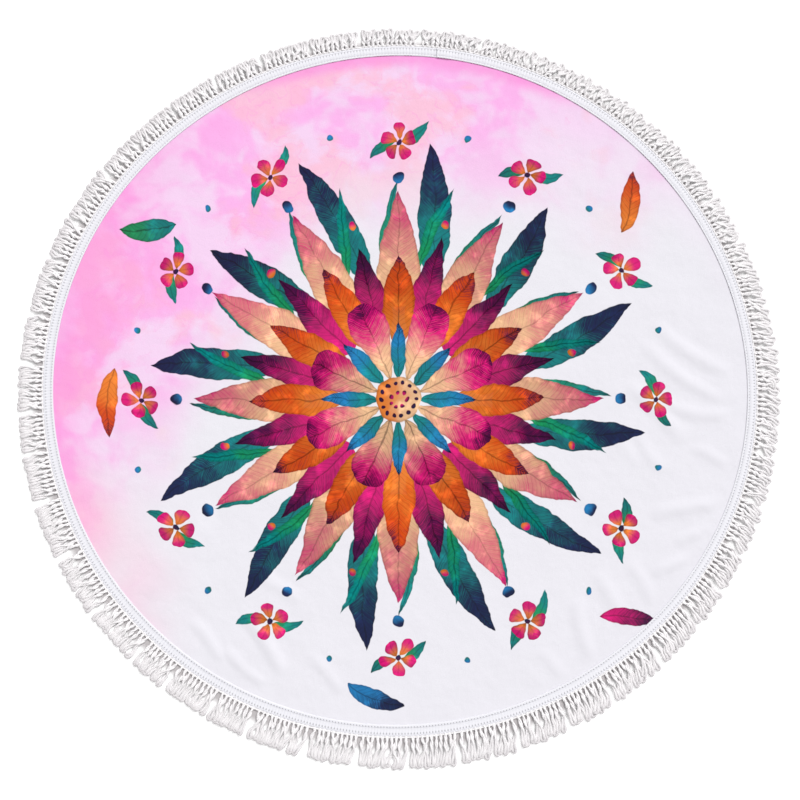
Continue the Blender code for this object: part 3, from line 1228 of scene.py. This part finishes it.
@dataclass(frozen=True)
class PliedYarn:
    """Soft white yarn of twisted strands, which opens towards the loops' ends; painted shade lies between
    the strands, over the opened loops and at their ends, less of it on the side the lamp lights.
    """

    white: Paint = colour(0.985, 0.975, 0.980)
    shade: Paint = colour(0.905, 0.890, 0.897)
    shaded_loop_white: Paint = colour(0.950, 0.939, 0.944)
    shaded_loop_groove: Paint = colour(0.858, 0.842, 0.849)
    end_shade: Paint = colour(0.850, 0.834, 0.842)
    edge: SewnEdge = SewnEdge()
    loop_shade_reach: Span = (1.012, 1.040)
    end_shade_reach: Span = (0.978, 1.000)
    lit_toward: Triple = (0.70, 1.00, 0.0)
    lit_side: Span = (-0.10, 0.75)
    lit_loss: float = 0.60
    lit_gain: float = 0.15
    strands: float = 6.0
    strand_band: Span = (-1.0, 0.1)
    fuzz: Grain = Grain(900.0, 3.0, 0.65)
    fuzz_stray: float = 1.4
    fuzz_tone: Span = (0.5, 0.7)
    strand_height: float = 0.00030
    roughness: float = 0.92
    gloss: float = 0.1
    sheen: float = 0.15

    def strand_tone(self, sheet: NodeSheet, spot: Socket) -> Socket:
        """The strands laid round the yarn by its map, with their fuzz.

        Args:
            sheet: the sheet to add nodes to.
            spot: the place on the towel.

        Returns:
            The tone, from 0 between two strands, where painted shade lies, to 1 on a strand.
        """
        along, around = sheet.laid()
        fuzz = sheet.noise(spot, self.fuzz)
        turn = sheet.math("MULTIPLY_ADD", along, -1.0 / YARN_LAY, around)
        laid = sheet.math("MULTIPLY", turn, TURN * self.strands)
        wind = sheet.math("MULTIPLY_ADD", fuzz, self.fuzz_stray, laid)
        strand = sheet.step(sheet.math("SINE", wind), *self.strand_band)
        return sheet.math("MULTIPLY", sheet.math("MULTIPLY_ADD", fuzz, *self.fuzz_tone), strand, clamp=True)

    def material(self) -> bpy.types.Material:
        """The yarn's material.

        Returns:
            The new material.
        """
        sheet = NodeSheet.named("fringe_yarn")
        spot = sheet.spot()
        tone = self.strand_tone(sheet, spot)
        # Painted shade over the opened loops and at their ends, less of it on the side the lamp lights.
        lit = sheet.side(spot, self.lit_toward, self.lit_side)
        loop_shade_mask = sheet.step(sheet.reach(spot, self.edge.root), *self.loop_shade_reach)
        loop_shade_mask = sheet.math("MULTIPLY", loop_shade_mask, sheet.math("MULTIPLY_ADD", lit, -self.lit_gain, 1.0))
        end_shade_mask = sheet.step(sheet.reach(spot, self.edge.outline), *self.end_shade_reach)
        end_shade_mask = sheet.math("MULTIPLY", end_shade_mask, sheet.math("MULTIPLY_ADD", lit, -self.lit_loss, 1.0))
        twisted = sheet.mix(tone, self.shade, self.white)
        shaded_loop = sheet.mix(tone, self.shaded_loop_groove, self.shaded_loop_white)
        face = sheet.mix(end_shade_mask, sheet.mix(loop_shade_mask, twisted, shaded_loop), self.end_shade)
        sheet.dress(face, self.roughness, self.gloss, sheet.bump(tone, self.strand_height))
        sheet.shader.inputs["Sheen Weight"].default_value = self.sheen
        return sheet.material


# ---------------------------------------------------------------------------
# The cloth panel
# ---------------------------------------------------------------------------


@dataclass(frozen=True)
class Crease:
    """A soft ridge: where it runs, how far it bows to its left, its height and half width."""

    start_x: float
    start_y: float
    end_x: float
    end_y: float
    bow: float
    height: float
    half_width: float

    def rise(self, x: np.ndarray, y: np.ndarray) -> np.ndarray:
        """How high the crease lifts the cloth.

        Args:
            x: each place's distance to the right.
            y: each place's distance upward on the face.

        Returns:
            The height at each place.
        """
        run_x, run_y = self.end_x - self.start_x, self.end_y - self.start_y
        length = math.hypot(run_x, run_y)
        along = ((x - self.start_x) * run_x + (y - self.start_y) * run_y) / length ** 2
        aside = ((y - self.start_y) * run_x - (x - self.start_x) * run_y) / length
        aside = aside - self.bow * 4.0 * along * (1.0 - along)
        across = np.cos(0.5 * math.pi * np.clip(aside / self.half_width, -1.0, 1.0)) ** 2
        ends = 1.0 - np.clip(np.abs(2.0 * along - 1.0), 0.0, 1.0) ** 4
        return self.height * across * ends


MAIN_CREASES = (
    Crease(0.505, 0.150, 0.655, 0.052, -0.010, 0.00275, 0.022),
    Crease(0.483, 0.115, 0.650, -0.004, -0.014, 0.00250, 0.020),
    Crease(0.450, 0.034, 0.568, -0.085, 0.004, 0.00275, 0.022),
    Crease(0.515, 0.002, 0.655, -0.028, -0.014, 0.00250, 0.020),
    Crease(0.470, -0.062, 0.525, -0.140, -0.008, 0.00200, 0.019),
    Crease(0.400, -0.045, 0.478, -0.136, 0.004, 0.00175, 0.019),
    Crease(0.575, -0.092, 0.652, -0.134, 0.004, 0.00200, 0.018),
    Crease(0.500, -0.228, 0.640, -0.207, 0.006, 0.00250, 0.021),
    Crease(0.545, -0.282, 0.622, -0.256, 0.003, 0.00200, 0.018),
    Crease(0.500, -0.345, 0.590, -0.312, 0.004, 0.00225, 0.019),
    Crease(0.455, -0.318, 0.510, -0.425, 0.005, 0.00200, 0.020),
    Crease(0.385, -0.335, 0.452, -0.458, 0.005, 0.00225, 0.021),
    Crease(0.352, -0.385, 0.390, -0.528, -0.010, 0.00250, 0.022),
    Crease(0.275, -0.492, 0.335, -0.560, 0.003, 0.00175, 0.018),
    Crease(-0.305, -0.425, -0.228, -0.545, 0.006, 0.00325, 0.022),
    Crease(-0.410, -0.432, -0.348, -0.518, 0.004, 0.00200, 0.019),
    Crease(-0.345, -0.485, -0.262, -0.566, -0.006, 0.00200, 0.018),
    Crease(-0.288, -0.342, -0.190, -0.402, 0.004, 0.00200, 0.021),
    Crease(-0.178, -0.500, -0.112, -0.582, 0.004, 0.00175, 0.018),
    Crease(-0.375, -0.215, -0.500, -0.390, 0.010, 0.00225, 0.026),
    Crease(-0.520, -0.030, -0.602, -0.150, 0.006, 0.00175, 0.024),
)


@dataclass
class ClothPanel:
    """The round panel: a thin sheet on its solid's folds, with its edge under the tape."""

    edge: SewnEdge
    thickness: float = 0.0022
    cells: int = 200
    fade: float = 0.030
    creases: tuple[Crease, ...] = MAIN_CREASES

    def rise(self, x: np.ndarray, y: np.ndarray) -> np.ndarray:
        """Height of the cloth's underside.

        Args:
            x: each place's distance to the right.
            y: each place's distance upward on the face.

        Returns:
            The height at each place.
        """
        inner = self.edge.inner
        share = np.hypot((x - inner.centre_x) / inner.half_x, (y - inner.centre_y) / inner.half_y)
        inside = np.clip((1.0 - self.fade / 2.0 - share) / self.fade, 0.0, 1.0)
        return inside * np.max([crease.rise(x, y) for crease in self.creases], axis=0)

    def flat_grid(self, side: np.ndarray) -> np.ndarray:
        """Spreads a square grid over the round panel.

        Args:
            side: the grid's coordinates along a side, from -1 to 1.

        Returns:
            Points on the surface, as (points, points, 2).
        """
        u, v = np.meshgrid(side, side, indexing="ij")
        across, upward = u * np.sqrt(1.0 - v ** 2 / 2.0), v * np.sqrt(1.0 - u ** 2 / 2.0)
        middle = np.array([self.edge.inner.centre_x, self.edge.inner.centre_y])
        rim = self.edge.point(CLOTH_EDGE, np.arctan2(upward, across))
        return middle + (rim - middle) * np.hypot(across, upward)[..., None]

    def build(self) -> bpy.types.Object:
        """Builds the panel: a closed sheet with a printed face and a towelling underside.

        Returns:
            The piece.
        """
        side = np.linspace(-1.0, 1.0, self.cells + 1)
        flat = self.flat_grid(side)
        under = self.rise(flat[..., 0], flat[..., 1])[..., None]
        face = np.concatenate([flat, under + self.thickness], axis=-1)
        back = np.concatenate([flat, under], axis=-1)

        cloth = Gatherer()
        top = cloth.add_skin(face, side, side, False, 0)
        low = cloth.add_skin(back, side, side, False, 1)
        cloth.faces[1] = cloth.faces[1][:, ::-1]
        cloth.maps[1] = cloth.maps[1][:, ::-1]
        row = self.cells + 1
        steps = np.arange(self.cells)
        border = np.concatenate([steps * row, self.cells * row + steps,
                                 (row - steps) * row - 1, self.cells - steps])
        after = np.roll(border, -1)
        cloth.add_faces(np.stack([top + border, low + border, low + after, top + after], axis=-1), slot=1)
        return cloth.make("printed_towel_cloth", [ClothPrint().material(), TerryBack().material()])


# ---------------------------------------------------------------------------
# The heading tape and its stitches
# ---------------------------------------------------------------------------


@dataclass
class HeadingTape:
    """The woven tape: crosswise ribs, corded edges, and its tail lapped over its start."""

    edge: SewnEdge
    low: float = 0.0025
    thickness: float = 0.0013
    gap: float = 0.0003
    start_deg: float = 82.4
    rise_deg: float = 1.2
    clear_deg: float = 0.2
    lap_deg: float = 1.6
    ribs: int = 720
    rib_steps: int = 4
    rib_relief: float = 0.045
    rib_band: Span = (0.27, 0.73)

    # The top of its section: how far across, and how high as a share of its thickness.
    section: tuple[Span, ...] = (
        (0.00, 0.30), (0.01, 0.95), (0.04, 1.38), (0.09, 1.48), (0.14, 1.38), (0.19, 1.10),
        (INNER_SEAM, 0.97), (0.28, 1.08), (0.40, 1.05), (0.55, 0.98), (0.68, 0.92),
        (OUTER_SEAM, 0.82), (0.81, 0.92), (TAPE_OUTER, 0.66),
    )

    def angle(self, station: np.ndarray) -> np.ndarray:
        """The angle round the towel of each place along the tape."""
        return np.radians(self.start_deg + station)

    def lift(self, station: np.ndarray) -> np.ndarray:
        """How far the tape has risen where its tail laps over its start."""
        climb = (station - FULL_DEG + self.rise_deg) / (self.rise_deg - self.clear_deg)
        return (self.thickness + self.gap) * np.clip(climb, 0.0, 1.0)

    def build(self) -> bpy.types.Object:
        """Builds the tape as one long closed strip.

        Returns:
            The piece.
        """
        length = FULL_DEG + self.lap_deg
        count = int(self.ribs * self.rib_steps * length / FULL_DEG) + 1
        station = np.arange(count) * length / (count - 1)
        angle, lift = self.angle(station), self.lift(station)
        rib = station / FULL_DEG * self.ribs
        rows = []
        for share, height in self.section:
            ribbed = self.rib_band[0] < share < self.rib_band[1]
            wave = -self.rib_relief * np.cos(TURN * rib) * ribbed
            z = self.low + lift + self.thickness * (height + wave)
            rows.append(np.column_stack([self.edge.point(share, angle), z]))
        under = (TAPE_OUTER, 0.0)
        for share in under:
            rows.append(np.column_stack([self.edge.point(share, angle), self.low + lift]))
        strip = np.stack(rows, axis=1)
        shares = np.array([share for share, _ in self.section] + [*under, 0.0])

        tape = Gatherer()
        first = tape.add_skin(strip[:, ::-1], rib, shares[::-1], True)
        tape.close_ends(first, count, strip.shape[1])
        return tape.make("woven_heading_tape", [TapeWeave().material()])


@dataclass
class StitchRows:
    """Two rows of machine stitches that hold the tape, one thread to a stitch."""

    tape: HeadingTape
    rows: Span = (INNER_SEAM, OUTER_SEAM)
    radius: float = 0.00036
    cover: float = 0.68
    sides: int = 5
    dip: float = 0.00025
    crown: float = 0.00030
    bends: tuple[float, ...] = (0.0, 0.22, 0.78, 1.0)

    def build(self) -> bpy.types.Object:
        """Builds every stitch as a short thread that dips into the tape at both ends.

        Returns:
            The piece.
        """
        tape = self.tape
        thread = Gatherer()
        pitch = FULL_DEG / tape.ribs
        bends = np.array(self.bends)
        rise = np.array([-self.dip, self.crown, self.crown, -self.dip])
        radius = np.full(len(bends), self.radius)
        level = dict(tape.section)
        for share in self.rows:
            surface = tape.low + tape.thickness * level[share]
            for number in range(tape.ribs):
                start = tape.lap_deg + pitch * (number + 0.5 * (1.0 - self.cover)) + self.shift(pitch)
                station = start + pitch * self.cover * bends
                place = tape.edge.point(share, tape.angle(station))
                line = np.column_stack([place, surface + tape.lift(station) + rise])
                thread.add_tube(line, radius, self.sides)
        return thread.make("tape_stitches", [SewingThread().material()])

    def shift(self, pitch: float) -> float:
        """Brings the first stitch to start at a pinhole."""
        return pitch * math.ceil(self.tape.lap_deg / pitch) - self.tape.lap_deg


# ---------------------------------------------------------------------------
# The looped fringe
# ---------------------------------------------------------------------------


@dataclass(frozen=True)
class Tassel:
    """Two yarn loops that start side by side: their angle, how they gather, how far they reach."""

    angle: float
    tip_shift: float
    reach: float


class Lay(Enum):
    """How a tassel's two loops lie: how far from its middle each runs, at each key of its length."""

    CROSSED = (1.0, 1.0, 0.30, -0.55, -1.10, -1.30)
    BESIDE = (1.0, 1.0, 0.92, 1.02, 1.06, 0.98)
    PINCHED = (1.0, 0.94, 0.50, 0.62, 1.15, 1.36)
    SPREAD = (1.0, 1.06, 1.48, 1.30, 0.86, 0.66)


@dataclass
class LoopFringe:
    """The fringe: a low foot under the tape's edge, and twisted yarn loops lying outward.

    Shares along a loop run from 0 at its root to 1 at the fringe's outline.
    """

    edge: SewnEdge

    # How the tassels gather, lean and reach.
    tassel_count: int = 228
    group_sizes: tuple[int, ...] = (4, 5, 5, 6)
    group_pulls: Span = (0.6, 1.4)
    root_gather: float = 0.05
    tip_gather: float = 0.060
    gather_swing: float = 0.036
    loose_side_deg: float = 45.0
    reach_loss: float = 0.06
    lean_mean_deg: float = -7.0
    lean_swing_deg: float = -11.0
    bend_share: float = 0.5
    layout_seed: int = 23
    yarn_seed: int = 61

    # How the two loops of a tassel lie, at each key.
    lay_chances: tuple[float, ...] = (1.0, 2.5, 1.2, 1.0)
    keys: tuple[float, ...] = (-0.06, 0.08, 0.28, 0.50, 0.72, 1.0)
    wander_mm: tuple[float, ...] = (0.0, 0.2, 0.6, 1.1, 1.6, 2.0)
    height_mm: tuple[float, ...] = (2.0, 2.9, 3.3, 3.4, 3.3, 3.1)
    over_mm: tuple[float, ...] = (0.0, 0.0, 1.0, 2.6, 2.0, 1.3)
    over_luck: Span = (0.6, 1.1)

    # How far each of a loop's two legs runs from its middle.
    spread_keys: tuple[float, ...] = (-0.06, 0.10, 0.24, 0.45, 0.62)
    spread_mm: tuple[float, ...] = (1.25, 1.30, 1.85, 2.00, 2.00)
    open_half_mm: Span = (3.7, 4.9)
    full_half_mm: Span = (2.7, 3.5)

    # The yarn's radius, in a loop that stays open and in one that fluffs out full.
    yarn_keys: tuple[float, ...] = (-0.06, 0.10, 0.30, 0.60, 0.85, 1.04)
    open_yarn_mm: tuple[float, ...] = (2.00, 2.00, 2.50, 2.55, 2.50, 2.50)
    full_yarn_mm: tuple[float, ...] = (1.92, 1.92, 2.35, 2.35, 3.60, 4.00)
    yarn_luck: Span = (0.92, 1.08)
    fullness: float = 0.68
    full_swing: float = 0.22
    full_chance: float = 0.30

    # The legs' twist, and where it opens into the rounded end.
    twists: Span = (0.8, 1.2)
    twist_ease: float = 1.4
    roll: float = 0.30
    flatness: float = 0.8
    floor_gap_mm: float = 0.05
    loop_stretch: float = 1.045
    full_loss: float = 0.05
    stretch_loss: float = 0.04
    opens_at: float = 0.66
    widest_at: float = 0.93

    # Steps.
    cord_steps: int = 18
    widen_steps: int = 4
    tip_steps: int = 8
    yarn_sides: int = 8
    ply: float = 0.12
    arcs: int = 6
    foot_steps: int = 4

    # The foot's section, as share across and height, and the yarn wrapped round its ridge.
    foot_section_mm: tuple[Span, ...] = (
        (FOOT_INNER, 0.0), (FOOT_INNER, 2.2), (TAPE_OUTER, 2.2), (0.883, 3.0), (0.91, 3.6),
        (0.96, 3.8), (1.00, 3.4), (1.03, 2.3), (1.02, 0.0),
    )
    wrap_mm: float = 0.12
    wrap_pitch: float = 0.0048
    wrap_above_mm: float = 2.9

    def loose(self, angle: float) -> float:
        """How near an angle is to the side where the tassels lie loosest, from -1 to 1."""
        return math.cos(angle - math.radians(self.loose_side_deg))

    def layout(self) -> list[Tassel]:
        """Lays out the tassels.

        Returns:
            Where each starts, how it is gathered, and how far it reaches.
        """
        chance = random.Random(self.layout_seed)
        pitch = TURN / self.tassel_count
        tassels: list[Tassel] = []
        while len(tassels) < self.tassel_count:
            size = min(chance.choice(self.group_sizes), self.tassel_count - len(tassels))
            pull = pitch * chance.uniform(*self.group_pulls)
            for place in range(size):
                inward = ((size - 1) / 2.0 - place) * pull
                angle = pitch * (len(tassels) + 0.5) + inward * self.root_gather
                shift = inward * (self.tip_gather - self.gather_swing * self.loose(angle))
                reach = 1.0 - self.reach_loss * chance.random()
                tassels.append(Tassel(angle, shift, reach))
        return tassels

    def centre_line(self, tassel: Tassel) -> tuple[np.ndarray, np.ndarray, np.ndarray]:
        """A tassel's line on the surface, from the root line to the fringe's outline.

        Args:
            tassel: the tassel.

        Returns:
            The line's root, bend and tip.
        """
        outline = self.edge.outline
        root = self.edge.point(1.0, np.array(tassel.angle))
        outward = np.array([math.cos(tassel.angle), math.sin(tassel.angle)])
        lean = math.radians(self.lean_mean_deg + self.lean_swing_deg * math.cos(tassel.angle))
        heading = np.array([math.cos(tassel.angle + lean), math.sin(tassel.angle + lean)])
        squash = np.array([1.0 / outline.half_x, 1.0 / outline.half_y])
        base, step = root * squash, heading * squash
        half_b = float(base @ step)
        size = float(step @ step)
        length = (math.sqrt(half_b ** 2 - size * (float(base @ base) - 1.0)) - half_b) / size
        sideways = np.array([-outward[1], outward[0]]) * tassel.tip_shift * outline.half_x
        tip = root + heading * length * tassel.reach + sideways
        bend = root + outward * np.linalg.norm(tip - root) * self.bend_share
        return root, bend, tip

    def run_of(self, reach: float) -> tuple[np.ndarray, np.ndarray]:
        """The steps of a yarn that runs out, round the loop's end and back.

        Args:
            reach: the share of the length where the loop ends.

        Returns:
            Each step's share of the length, and its hand: 1 on the way out, -1 on the way back.
        """
        cord = np.linspace(self.keys[0], self.opens_at, self.cord_steps)
        widen = np.linspace(self.opens_at, self.widest_at, self.widen_steps + 1)[1:]
        leg = np.concatenate([cord, widen])
        sweep = np.linspace(0.0, math.pi, self.tip_steps + 2)[1:-1]
        t = np.concatenate([leg, self.widest_at + (reach - self.widest_at) * np.sin(sweep), leg[::-1]])
        hand = np.concatenate([np.ones(len(leg)), np.cos(sweep), -np.ones(len(leg))])
        return t, hand

    def yarn_line(self, ends: tuple[np.ndarray, np.ndarray, np.ndarray], aside: np.ndarray,
                  height: np.ndarray, chance: random.Random) -> tuple[np.ndarray, np.ndarray]:
        """One yarn laid out and back: its two legs twisted together, then open in a rounded loop.

        Args:
            ends: root, bend and tip of the tassel's line.
            aside: how far the loop lies to the left of the tassel's line, at each key.
            height: the loop's height at each key.
            chance: where the loop's own twist, width and length come from.

        Returns:
            The yarn's points, and its radius at each.
        """
        root, bend, tip = ends
        loose = self.loose(math.atan2(root[1], root[0]))
        full = self.fullness - self.full_swing * loose + chance.uniform(-1.0, 1.0) * self.full_chance
        full = min(max(full, 0.0), 1.0)
        reach = self.loop_stretch - self.full_loss * full - chance.uniform(0.0, self.stretch_loss)
        half_width = (1.0 - full) * chance.uniform(*self.open_half_mm)
        half_width += full * chance.uniform(*self.full_half_mm)
        roll = chance.uniform(-self.roll, self.roll)
        twists = chance.uniform(*self.twists) * chance.choice((-1.0, 1.0))
        t, hand = self.run_of(reach)
        spread = np.interp(t, (*self.spread_keys, self.widest_at), (*self.spread_mm, half_width))
        left_to_turn = np.clip(1.0 - t / self.opens_at, 0.0, None)
        turn = roll + TURN * twists * left_to_turn ** self.twist_ease
        keys = np.array(self.keys)
        left = through(keys, aside, t) + hand * spread * np.cos(turn) * MILLI
        z = through(keys, height, t) + hand * spread * np.sin(turn) * MILLI * self.flatness

        line_t = t[:, None]
        centre = root * (1 - line_t) ** 2 + bend * 2 * line_t * (1 - line_t) + tip * line_t ** 2
        ahead = (bend - root) * (1 - line_t) + (tip - bend) * line_t
        ahead /= np.linalg.norm(ahead, axis=1, keepdims=True)
        leftward = np.column_stack([-ahead[:, 1], ahead[:, 0]])
        plan = centre + leftward * left[:, None]
        thick = np.array(self.open_yarn_mm) * (1.0 - full) + np.array(self.full_yarn_mm) * full
        radius = np.interp(t, self.yarn_keys, thick) * chance.uniform(*self.yarn_luck) * MILLI
        z = np.maximum(z, radius * (1.0 + self.ply) + self.floor_gap_mm * MILLI)
        return np.column_stack([plan, z]), radius

    def add_tassel(self, yarn: Gatherer, tassel: Tassel, chance: random.Random) -> None:
        """Adds a tassel's two loops, each a soft yarn laid out and back.

        Args:
            yarn: where the loops are added.
            tassel: the tassel.
            chance: where the way that the loops lie comes from.
        """
        ends = self.centre_line(tassel)
        quarter_pitch = self.edge.root.half_x * TURN / self.tassel_count / 4.0
        lay = np.array(chance.choices(list(Lay), weights=self.lay_chances)[0].value)
        over = chance.choice((-1, 1))
        for hand in (-1, 1):
            wander = np.array([chance.gauss(0.0, spread) for spread in self.wander_mm])
            aside = hand * quarter_pitch * lay + wander * MILLI
            height = np.array(self.height_mm)
            if hand == over:
                height = height + np.array(self.over_mm) * chance.uniform(*self.over_luck)
            line, radius = self.yarn_line(ends, aside, height * MILLI, chance)
            yarn.add_tube(line, radius, self.yarn_sides, self.ply)

    def build_loops(self, finish: bpy.types.Material) -> list[bpy.types.Object]:
        """Builds the loops.

        Args:
            finish: the yarn's material.

        Returns:
            A piece for each stretch of the edge.
        """
        chance = random.Random(self.yarn_seed)
        tassels = self.layout()
        share = len(tassels) // self.arcs
        pieces = []
        for arc in range(self.arcs):
            yarn = Gatherer()
            for tassel in tassels[arc * share:(arc + 1) * share]:
                self.add_tassel(yarn, tassel, chance)
            pieces.append(yarn.make(f"fringe_loops_{arc + 1}", [finish]))
        return pieces

    def build_foot(self, finish: bpy.types.Material) -> bpy.types.Object:
        """Builds the fringe's foot: a low band of wrapped yarn that the loops come out of.

        Args:
            finish: the yarn's material.

        Returns:
            The piece.
        """
        count = self.tassel_count * 2 * self.foot_steps
        angle = TURN * np.arange(count + 1) / count
        run = angle * self.edge.root.half_x
        rows = []
        for share, height in self.foot_section_mm:
            wrapped = height > self.wrap_above_mm
            swell = self.wrap_mm * np.cos(TURN * run / self.wrap_pitch) * wrapped
            rows.append(np.column_stack([self.edge.point(share, angle), (height + swell) * MILLI]))
        band = np.stack(rows, axis=1)[:-1]
        foot = Gatherer()
        across = len(self.foot_section_mm)
        foot.add_skin(np.concatenate([band, band[:1]]), run, np.linspace(0.0, 1.0, across + 1), True)
        foot.faces[0] = foot.faces[0] % (count * across)
        foot.points[0] = foot.points[0][:count * across]
        return foot.make("fringe_foot", [finish])


# ---------------------------------------------------------------------------
# Studio
# ---------------------------------------------------------------------------


@dataclass
class Studio:
    """A pale floor with painted shade under the fringe and a painted glow past the towel, soft light from
    the upper right, and a camera straight above.
    """

    view_width: float = 1.580
    view_x: float = 0.0028
    view_y: float = -0.0012
    camera_height: float = 5.0
    camera_sees: float = 100.0
    sensor: float = 36.0

    # The floor carries painted shade under the fringe's roots, and a painted glow a little past the towel
    # that washes out the towel's shadow there.
    floor_half: float = 12.0
    floor_drop: float = 0.0003
    floor_white: Paint = (0.95, 0.95, 0.95, 1.0)
    floor_shade: Paint = (0.470, 0.446, 0.452, 1.0)
    floor_shade_oval: Oval = Oval(-0.0012, 0.0080, 0.7108, 0.6910)
    floor_shade_grain: Grain = Grain(40.0)
    grain_swing: float = 0.01
    floor_shade_fade: Span = (0.998, 1.024)
    glow_fade: Span = (1.026, 1.046)
    painted_glow: float = 0.30
    floor_roughness: float = 0.9
    floor_gloss: float = 0.1

    light: Paint = (1.0, 1.0, 1.0, 1.0)
    room_light: float = 0.60
    lamp_light: float = 2.75
    lamp_spread_deg: float = 28.0
    lamp_toward: Triple = (0.44, 0.68, 0.95)

    def build(self) -> None:
        """Sets up the floor, the light and the camera."""
        scene = bpy.context.scene
        scene.view_settings.view_transform = "Standard"
        self.add_floor()
        self.add_light()
        lens = bpy.data.cameras.new("overhead_camera")
        lens.sensor_width = self.sensor
        lens.lens = self.sensor * self.camera_height / self.view_width
        lens.clip_end = self.camera_sees
        camera = bpy.data.objects.new("overhead_camera", lens)
        camera.location = (self.view_x, self.view_y, self.camera_height)
        scene.collection.objects.link(camera)
        scene.camera = camera

    def add_floor(self) -> None:
        """A pale floor just under the towel, with painted shade under the fringe and a painted glow past it.
        """
        half = self.floor_half
        low = -self.floor_drop
        floor = Gatherer()
        floor.add_points(np.array([[-half, -half, low], [half, -half, low],
                                   [half, half, low], [-half, half, low]]))
        floor.add_faces(np.array([[0, 1, 2, 3]]))
        sheet = NodeSheet.named("studio_floor")
        place = sheet.spot()
        reach = sheet.math("SUBTRACT", sheet.reach(place, self.floor_shade_oval), self.grain_swing / 2.0)
        grain = sheet.math("MULTIPLY_ADD", sheet.noise(place, self.floor_shade_grain), self.grain_swing, reach)
        # Painted shade: the floor is darker under the fringe, fading to white past its roots.
        face = sheet.mix(sheet.step(grain, *self.floor_shade_fade), self.floor_shade, self.floor_white)
        sheet.dress(face, self.floor_roughness, self.floor_gloss, None)
        # Painted light: the floor glows past the towel, so the towel casts no visible shadow there.
        glow = sheet.math("MULTIPLY", sheet.step(grain, *self.glow_fade), self.painted_glow)
        sheet.shader.inputs["Emission Color"].default_value = self.light
        sheet.feed(sheet.shader.inputs["Emission Strength"], glow)
        floor.make("studio_floor", [sheet.material])

    def add_light(self) -> None:
        """Soft light all round, and a broad lamp from the upper right."""
        scene = bpy.context.scene
        world = bpy.data.worlds.new("studio_world")
        world.use_nodes = True
        glow = world.node_tree.nodes["Background"]
        glow.inputs["Color"].default_value = self.light
        glow.inputs["Strength"].default_value = self.room_light
        scene.world = world
        lamp = bpy.data.lights.new("key_light", "SUN")
        lamp.energy = self.lamp_light
        lamp.angle = math.radians(self.lamp_spread_deg)
        key = bpy.data.objects.new("key_light", lamp)
        key.rotation_euler = Vector(self.lamp_toward).to_track_quat("Z", "Y").to_euler()
        scene.collection.objects.link(key)


def main() -> None:
    """Builds the towel's pieces in order and reports each one."""
    logging.basicConfig(level=logging.INFO, format="%(name)s: %(message)s")
    edge = SewnEdge()
    cloth = ClothPanel(edge).build()
    heading = HeadingTape(edge)
    tape = heading.build()
    stitches = StitchRows(heading).build()
    fringe = LoopFringe(edge)
    yarn = PliedYarn().material()
    foot = fringe.build_foot(yarn)
    loops = fringe.build_loops(yarn)
    for piece in (cloth, tape, stitches, foot, *loops):
        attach(piece, "root")
        LOG.info("%s: %d faces", piece.name, len(piece.data.polygons))
    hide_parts("towel_cloth")
    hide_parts("heading_tape")
    for piece in (foot, *loops):
        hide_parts("loop_fringe")
    Studio().build()


if __name__ == "__main__":
    main()
